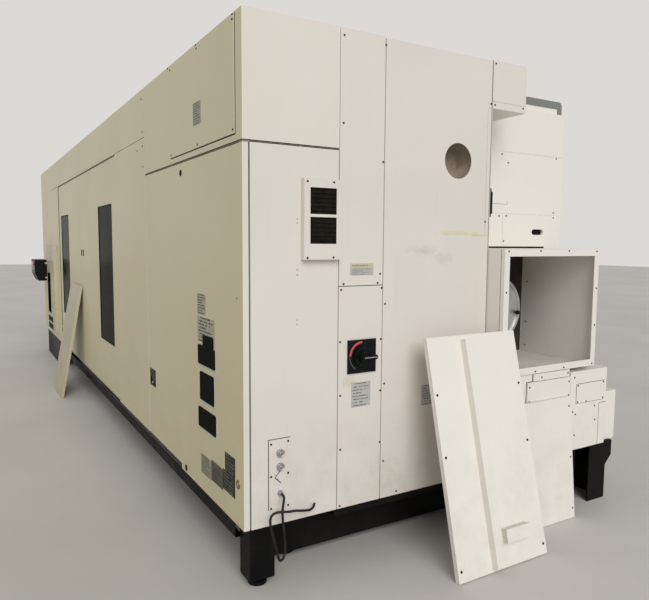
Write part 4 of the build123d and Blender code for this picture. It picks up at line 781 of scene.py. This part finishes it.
tall_screws = [(1.952, 2.290), (2.010, 2.237), (2.477, 2.297), (2.468, 1.924), (2.470, 1.890),
               (1.943, 1.889), (2.008, 1.891), (1.990, 1.725)]
inner_wall_screws = [(-.44, 1.437), (-.44, 1.147), (-.44, .978)]
cover_screws = [(u, v) for u in (0.022, 0.623) for v in (0.055, 0.620, 0.940)]
second_screws = [(0.419, v) for v in (0.060, 0.380, 0.700)]
end_heads = [copies(head, face, places) for head, face, places in (
    (screw_head, end_face, end_screws + corner_screws), (screw_head, vent_face, vent_screws),
    (screw_head, socket_face, socket_screws), (screw_head, rim_face, rim_screws + plate_screws),
    (screw_head, side_box_face, side_screws), (screw_head, rim_face, side_plate_screws),
    (screw_head, tall_face, tall_screws), (screw_head, inner_wall_face, inner_wall_screws),
    (large_head, large_face, cover_screws), (screw_head, second_face, second_screws))]
end_piece = joined("end_screws", end_heads, "blackened_steel")
hook_rivets = [(.283, v) for v in (1.818, 1.798, 1.573, 1.548, 1.328, 1.307)]
joined("hook_rivets", copies(small_head, end_face, hook_rivets), "galvanised")
print(end_piece.name, len(end_piece.data.polygons), "faces")

# %% [markdown]
# The front has few screws and the rear panels have long even rows, which a mesh grid of numbers gives.
# The cabinet door's screw is a piece of its own, because it swings with the door.

# %% Screws of the front, the rear and the cabinet door
front_screws = [(-.107, 2.742), (-.620, 2.742), (-1.137, 2.742), (-1.778, 2.687), (-1.769, 2.465),
                (-1.769, 2.368), (-1.762, 2.225), (-1.921, 2.354)]
panel_screws = [(-.100, 2.226), (-.601, 2.224), (-1.080, 2.222), (-.100, 2.720), (-.601, 2.720),
                (-1.080, 2.720)]
rear_rows = np.stack(np.meshgrid(np.linspace(1.72, 8.0, 14), [0.37, 1.53, 2.69]), -1).reshape(-1, 2)
front_heads = [copies(screw_head, face, places) for face, places in (
    (front_face, front_screws), (cover_panel_face, panel_screws), (rear_face, rear_rows))]
front_piece = joined("front_and_rear_screws", front_heads, "blackened_steel")
joined("cabinet_door_screw", copies(small_head, front_face, [(-.073, 1.440)]), "blackened_steel",
       "cabinet_door")
print(front_piece.name, len(front_piece.data.polygons), "faces")

# %% [markdown]
# Name plates, label stickers and cover plates are rounded rectangles with a little thickness.
# One function draws them all: each outline is its four corner centres plus a small circle, and three
# such outlines, the last drawn in a little, make the foot, the side and the softened edge. Each plate
# keeps its own flat coordinates from 0 to 1, which a printed pattern can follow.

# %% Rounded plates
def rounded_outline(rectangles, corner, steps=4):
    """Corner centres and unit circle of rounded rectangles: centre +- (half - corner), and (cos a, sin a)."""
    low, high = rectangles[:, :2], rectangles[:, 2:]
    turn = (np.linspace(0, np.pi / 2, steps) + np.pi / 2 * np.arange(4)[:, None]).ravel()
    sign = np.repeat([(1, 1), (-1, 1), (-1, -1), (1, -1)], steps, axis=0)
    centres = ((low + high) / 2)[:, None] + sign * ((high - low) / 2 - corner)[:, None]
    return centres, np.stack([np.cos(turn), np.sin(turn)], -1)


def plates(name, face, rectangles, material, thick, corner, edge=0.0002, body="machine"):
    """Plates over (u0, v0, u1, v1): rings at the foot, the side's top and the drawn-in top, ends shut."""
    rectangles = np.array(rectangles, float).reshape(-1, 4)
    centres, circle = rounded_outline(rectangles, corner)
    reach = corner - np.array([0.0, 0.0, edge])
    flat = centres[:, :, None] + reach[:, None] * circle[:, None]
    rise = np.broadcast_to([0.0, thick - edge, thick], flat.shape[:3])
    drawn = np.concatenate([flat, rise[..., None]], -1)
    count, around, rings = drawn.shape[:3]
    start = np.arange(count)[:, None] * around * rings
    sides = (grid_faces(around, rings, True)[None] + start[:, None]).reshape(-1, 4).tolist()
    ring = np.arange(around) * rings
    tops, feet = (start + ring + rings - 1).tolist(), (start + ring[::-1]).tolist()
    piece = mesh_object(name, on_face(face, drawn).reshape(-1, 3), sides + tops + feet)
    low, high = rectangles[:, None, None, :2], rectangles[:, None, None, 2:]
    flat_uv = ((flat - low) / (high - low)).reshape(-1, 2)
    corners = np.empty(len(piece.data.loops), dtype=np.int32)
    piece.data.loops.foreach_get("vertex_index", corners)
    piece.data.uv_layers.new(name="printed").data.foreach_set("uv", flat_uv[corners].ravel())
    piece.data.materials.append(looks[material])
    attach(piece, body)
    return piece


sticker = 0.0006
plates("strip_label_head", end_face, (.588, 1.578, .731, 1.600), "label_head", sticker, 0.002)
plates("strip_label", end_face, (.588, 1.539, .731, 1.5775), "label_stock", sticker, 0.002)
plates("switch_label", end_face, (.601, .849, .722, .981), "label_stock", sticker, 0.003)
plates("low_label", end_face, (1.067, .800, 1.200, .918), "label_stock", sticker, 0.003)
plates("cover_label", cover_panel_face, (-.668, 2.328, -.543, 2.447), "label_grey", sticker, 0.003)
plates("door_labels", front_face, [(-.647, 1.310, -.508, 1.424), (-.646, 1.158, -.377, 1.300)], "label_door",
       sticker, 0.003, body="cabinet_door")
print("labels are bare stock with plain rules")

# %% [markdown]
# The three black plates on the cabinet door are moulded covers on pale backing sheets. The backing is
# a little larger and shows below and to the right, so each cover gets one more plate under it.

# %% Cover plates and rating plates
covers = np.array([(-.634, 1.036, -.371, 1.143), (-.606, .838, -.391, .996), (-.636, .680, -.366, .793)])
backing = covers + (0.004, -0.010, 0.012, 0.0)
rating_low = [(-.277, .442, -.112, .548), (-.244, .5485, -.110, .646)]
for name, places, material, thick, corner, edge in (
        ("plate_backing", backing, "label_blank_and_highlight", 0.0012, 0.004, 0.0006),
        ("black_covers", covers, "cover_black", 0.0055, 0.010, 0.002),
        ("cover_tab", (-.557, 1.130, -.394, 1.203), "cover_black", 0.0040, 0.006, 0.001),
        ("rating_plate_pale", (-.610, .420, -.447, .528), "rating_pale", 0.0010, 0.002, 0.0003),
        ("rating_plate_grey", (-.445, .428, -.279, .540), "rating_grey", 0.0010, 0.002, 0.0003),
        ("rating_plate_dark", rating_low, "rating_dark", 0.0010, 0.002, 0.0003)):
    plates(name, front_face, places, material, thick, corner, edge, "cabinet_door")
print("covers and rating plates on the cabinet door:", len(covers) + 4)

# %% [markdown]
# Round fittings are turned like the screws, only larger: the lock with its brass ring, the black plugs
# in the door, the capped sockets beside the lead, and the knob and rear flange of the belt wheel.

# %% Round fittings
lock_ring = [(.0230, 0), (.0225, .0030), (.0190, .0042), (.0150, .0042), (.0145, .0010), (.0, .0010)]
lock_eye = [(.0100, .0010), (.0098, .0036), (.0080, .0042), (.0024, .0042), (.0022, .0020), (.0, .0020)]
plug = [(.0190, 0), (.0188, .0018), (.0150, .0030), (.0125, .0012), (.0, .0006)]
cap_ring = [(.0196, .0), (.0196, .0135), (.0182, .0152), (.0158, .0152), (.0150, .0124), (.0, .0124)]
cap_well = [(.0150, .0124), (.0150, .0127), (.0, .0127)]
cap_centre = [(.0088, .0124), (.0086, .0140), (.0070, .0149), (.0, .0149)]
flange = [(.0, .0000), (.2600, .0000), (.2620, .0008), (.2620, .0022), (.2600, .0030), (.0, .0030)]
knob = [(.0100, -.004), (.0100, .0040), (.0135, .0060), (.0150, .0160), (.0130, .0230), (.0080, .0260),
        (.0, .0265)]
latch_key = [(.0090, 0), (.0090, .0020), (.0075, .0030), (.0020, .0030), (.0016, .0016), (.0, .0016)]
lock_place, socket_places = [(-.072, .532)], [(.188, .681), (.188, .613)]
fitting("lock_ring", lock_ring, 32, front_face, lock_place, "brass", "cabinet_door")
fitting("lock_eye", lock_eye, 24, front_face, lock_place, "galvanised", "cabinet_door")
fitting("door_plugs", plug, 28, front_face, [(-.912, 2.103), (-.883, .352)], "dark_rubber_and_shade", "cabinet_door")
fitting("socket_rings", cap_ring, 28, socket_face, socket_places, "galvanised")
fitting("socket_wells", cap_well, 24, socket_face, socket_places, "line_grey", smooth=False)
fitting("socket_centres", cap_centre, 20, socket_face, socket_places, "galvanised")
fitting("wheel_flange", flange, 96, end_at(-0.3760), [(1.9752, 1.262)], "blackened_steel", "feed_screw",
        smooth=False)
fitting("wheel_knob", knob, 28, end_at(-0.328), [(2.163, 1.238)], "black_plastic", "feed_screw")
fitting("latch_key", latch_key, 20, front_face, [(-1.618, .727)], "galvanised", "door_latch")
print("sockets, lock, plugs and knob turned")

# %% [markdown]
# Dark strips along the gaps between panels are painted shade: they stand for the shadow in each gap,
# and they are what draws the machine's lines. Each is a low arch, four points across, carried along a
# straight line; its two ends drop to the panel so that nothing is left open.

# %% Painted shade along the gaps
def strips(name, face, lines, wide, rise, material="dark_rubber_and_shade", body="machine", sink=0.0):
    """Low arches along (u0, v0, u1, v1): four stations along the line, times four points across it."""
    lines = np.array(lines, float).reshape(-1, 4)
    start, way = lines[:, :2], lines[:, 2:] - lines[:, :2]
    long = np.linalg.norm(way, axis=1, keepdims=True)
    way = way / long
    left = np.stack([-way[:, 1], way[:, 0]], -1)
    along = np.stack([0 * long, 0 * long + 0.0005, long - 0.0005, long], 1)
    across = np.array([-0.5, -0.35, 0.35, 0.5]) * wide
    flat = (start[:, None, None] + along[:, :, None] * way[:, None, None]
            + across[None, None, :, None] * left[:, None, None])
    height = np.outer([0, 1, 1, 0], [0, 1, 1, 0]) * rise - sink
    drawn = np.concatenate([flat, np.broadcast_to(height, flat.shape[:3])[..., None]], -1)
    return joined(name, on_face(face, drawn), material, body, closed=False)


# Painted shade in the gaps round the top cover panel, over the door head and along the end's head.
strips("panel_gap_shade", front_face, [(-.079, 2.203, -.079, 2.742), (-1.100, 2.2035, -.077, 2.2035)],
       0.006, 0.0008)
strips("door_head_gap_shade", front_face, (-1.712, 2.1685, 0.0, 2.1685), 0.005, 0.0006)
strips("end_head_gap_shade", end_face, (.002, 2.1685, .516, 2.1685), 0.0045, 0.0005)
# Painted shade: dark lines in the gap round the socket panel and on the shaded edges of the small flap.
strips("socket_panel_gap_shade", end_face, [(.1275, .398, .1275, .7525), (.126, .7515, .246, .7515)],
       0.0030, 0.0008)
strips("flap_edge_shadow", switch_face, [(.190, .5945, .1585, .563), (.1585, .563, .190, .5315),
                                  (.168, .5535, .176, .5535)], 0.0032, 0.0012)
# Painted shade in the seam down the drive box's side.
strips("box_frame_gap_shade", box_side_face, (.1025, .928, .1025, 1.674), 0.0030, 0.0014, sink=0.0014)
# Painted shadow: a dark band where the tall rear box stands over the drive box, for the contact shadow
# between them.
strips("tall_box_contact_shadow", tall_face, (1.560, 1.6835, 2.385, 1.6835), 0.012, 0.0010)
strips("tall_box_lines", tall_face, [(1.877, 1.9670, 2.014, 1.9670), (2.014, 1.9670, 2.014, 1.9860)],
       0.0030, 0.0006, "line_grey")
# Painted shade in the gaps round the side plate, along the box's split and round the lower plate.
strips("side_plate_gap_shade", side_box_face, [(2.2325, .6895, 2.2325, .8155), (2.5115, .6895, 2.5115, .8155),
                                         (2.232, .8165, 2.512, .8165), (2.232, .6885, 2.512, .6885)],
       0.0030, 0.0005)
strips("box_split_shade_line", side_box_face, [(2.4655, .3900, 2.4655, .668), (2.4655, .6680, 2.533, .668)],
       0.0030, 0.0004)
strips("lower_plate_gap_shade", end_at(0.1181), [(1.7795, .748, 1.7795, .874), (1.780, .8760, 1.8315, .8760),
                                           (1.8315, .876, 1.8315, .920), (2.1545, .880, 2.1545, .920)],
       0.0040, 0.0008)
# Painted shade: a grey line in the seam at the corner box's edge.
strips("cover_corner_shade", end_face, (1.549, 2.478, 1.549, 2.742), 0.003, 0.0004, "line_grey")
print("seals and lines laid")

# %% [markdown]
# Rubber round a window is one profile carried round a rounded rectangle: out, up, in and down again.
# The lining of a sunken well is the same thing with a deep profile, and gets a plate for its floor.

# %% Window seals, wells and the duct's throat
def framed(name, face, rectangle, corner, insets, rises, material, body, steps=4):
    """Profile (inset, rise) at every point of the outline: corner centre + (corner - inset) * circle."""
    centres, circle = rounded_outline(np.array([rectangle], float), corner, steps)
    flat = centres[0][:, None] + (corner - np.array(insets))[:, None] * circle[:, None]
    drawn = np.concatenate([flat, np.broadcast_to(rises, flat.shape[:2])[..., None]], -1)
    return joined(name, on_face(face, drawn)[None], material, body)


def well(name, face, rectangle, depth, material, body="machine", corner=0.0020):
    """Lining of a sunken well: its walls carried round the outline, and a plate for its floor."""
    framed(name + "_walls", face, rectangle, corner, (0.0004, 0.0004, 0.0012, 0.0012),
           (-depth, -0.0008, -0.0008, -depth), material, body)
    origin, directions = face
    floor_face = (origin - (depth - 0.0002) * directions[2], directions)
    inner = np.add(rectangle, (0.0014, 0.0014, -0.0014, -0.0014))
    plates(name + "_floor", floor_face, inner, material, 0.0008, corner, body=body)


for side, left, right in (("right", -3.495, -2.890), ("left", -5.990, -5.385)):
    framed("seal_" + side, door_face, (left, .790, right, 2.030), 0.010, (-0.002, -0.002, 0.006, 0.007),
           (0.0, 0.0012, 0.0012, -0.003), "dark_rubber_and_shade", "door_" + side, 6)
throat = [(.0972, .0004), (.0972, -.020), (.0968, -.115), (.080, -.118), (.0, -.119)]
duct = fitting("duct_throat", throat, 64, end_face, [(1.300, 2.165)], "duct_lining")
print("window seals and", duct.name)

# %% [markdown]
# The main switch has a dial behind its handle: a band that is red over the off quarter and grey over
# the rest. A band is a sheet in two parameters, the angle and the distance from the centre, raised by
# the thickness of a print.

# %% Switch dial, liners and console details
def dial_band(name, centre, inner, outer, start, end, material):
    """Band of a dial: centre + r (cos a, sin a), a from start to end, r from outer to inner radius."""
    turn = np.radians(np.linspace(start, end, 48))[:, None]
    reach = np.array([outer, outer - 0.0003, inner + 0.0003, inner])
    rise = np.array([0.0, 0.0006, 0.0006, 0.0])
    u, v = centre[0] + np.cos(turn) * reach, centre[1] + np.sin(turn) * reach
    drawn = np.stack([u, v, rise + 0 * turn], -1)
    return joined(name, on_face(switch_face, drawn)[None], material, closed=False, smooth=True)


switch_centre = (.6625, 1.118)
dial_band("dial_off", switch_centre, .0680, .0800, 92, 176, "dial_red")
dial_band("dial_on", switch_centre, .0740, .0790, 178, 236, "dial_grey")
# Painted highlight: a pale strip along the switch handle's top, where its edge catches the light.
strips("handle_highlight", end_at(0.0643), (.642, 1.118, .722, 1.118), 0.0030, 0.0005, "label_blank_and_highlight",
       "switch_handle")
# Painted shade: a dark sheet on the back wall of the drive box, whose inside lies in shade.
plates("box_back_shade", end_at(-0.4868), (1.557, .932, 2.390, 1.670), "shade_liner", 0.0008, 0.004)
console_face = front_at(-0.045)
well("bay", console_face, (-7.230, .683, -6.890, 1.257), 0.0315, "cover_black")
well("grip_right", door_face, (-4.420, 1.5525, -4.356, 1.6195), 0.0235, "dark_rubber_and_shade", "door_right")
well("grip_left", door_face, (-4.524, 1.5525, -4.460, 1.6195), 0.0235, "dark_rubber_and_shade", "door_left")
plates("rear_grip_shade", end_at(-0.3168), (2.2585, 1.7695, 2.3695, 1.8065), "dark_rubber_and_shade", sticker, 0.018)
plates("console_plates", console_face, [(-7.220, 1.425, -7.060, 1.630), (-6.860, 1.440, -6.560, 1.630)],
       "label_blank_and_highlight", 0.0060, 0.006, 0.0015)
cells = [(u, v, u + .235, v + .074) for u in (-7.236, -6.975) for v in (.456, .558)]
plates("console_grilles", console_face, cells, "dark_rubber_and_shade", 0.0020, 0.004, 0.0006)
edge_face = face_at((0, 1.553, 0), (-1, 0, 0))
plates("recess_latch", edge_face, (.003, 1.880, .034, 2.010), "black_plastic", 0.026, 0.006, 0.003)
plates("recess_latch_ends", edge_face, [(.006, 1.862, .022, 1.882), (.006, 2.008, .022, 2.028)],
       "black_plastic", 0.018, 0.004, 0.002)
print("dial, liners and console done")

# %% [markdown]
# Under the doors a long folded rail closes the gap to the base. It is one profile, a channel with a
# turned in foot, carried from the plinth to the corner leg, and shut at both ends. The two folded
# sheets between the corner box, the tall rear box and the roof panels are made the same way.

# %% Sill rail and roof fillers
def carried(name, profile, start, end, material):
    """Closed profile (y, z) carried along x from start to end: two rings, their walls and two end caps."""
    profile = np.array(profile, float)
    count = len(profile)
    points = [np.column_stack([np.full(count, x), profile]) for x in (start, end)]
    walls = [(i, (i + 1) % count, count + (i + 1) % count, count + i) for i in range(count)]
    caps = [range(count - 1, -1, -1), range(count, 2 * count)]
    piece = dressed(mesh_object(name, place(np.concatenate(points)), walls + caps), material, "machine")
    print(name, "from", start, "to", end)
    return piece


sill_profile = [(.014, .300), (.014, .228), (.018, .224), (.056, .224), (.056, .228), (.018, .230),
                (.017, .300)]
roof_profile = [(1.552, 2.7495), (1.552, 2.7465), (1.820, 2.7465), (1.820, 2.600), (1.823, 2.600),
                (1.823, 2.7495)]
rear_profile = [(1.8245, 2.7495), (1.8245, 2.600), (2.2500, 2.600), (2.2500, 1.680), (2.3275, 1.680),
                (2.3275, 2.7495)]
carried("sill_rail", sill_profile, -6.335, -.152, "frame_black")
carried("roof_filler", roof_profile, -1.7115, -1.5005, "end_paint")
carried("rear_filler", rear_profile, -1.7115, -1.6005, "end_paint")

# %% [markdown]
# The pendant's face swings with the pendant, so its screen and keys ride on that body. Keys are plates
# too, in one row below the screen and one small block beside it.

# %% Pendant face
pendant_face = front_at(-0.205)
plates("pendant_screen_frame", pendant_face, (-7.740, 1.262, -7.430, 1.420), "black_plastic", 0.0030, 0.006,
       0.0010, "pendant")
plates("pendant_screen", front_at(-0.208), (-7.722, 1.276, -7.448, 1.406), "screen_glass", 0.0010, 0.003,
       0.0003, "pendant")
soft_keys = [(u, 1.244, u + .018, 1.257) for u in np.arange(-7.735, -7.440, .026)]
plates("pendant_soft_keys", pendant_face, soft_keys, "key_grey", 0.0035, 0.002, 0.0010, "pendant")
keys = [(u, v, u + .020, v + .016) for u in (-7.408, -7.380, -7.352) for v in (1.250, 1.274, 1.298, 1.322)]
plates("pendant_keys", pendant_face, keys, "key_grey", 0.0040, 0.003, 0.0012, "pendant")
print("pendant keys:", len(soft_keys) + len(keys))
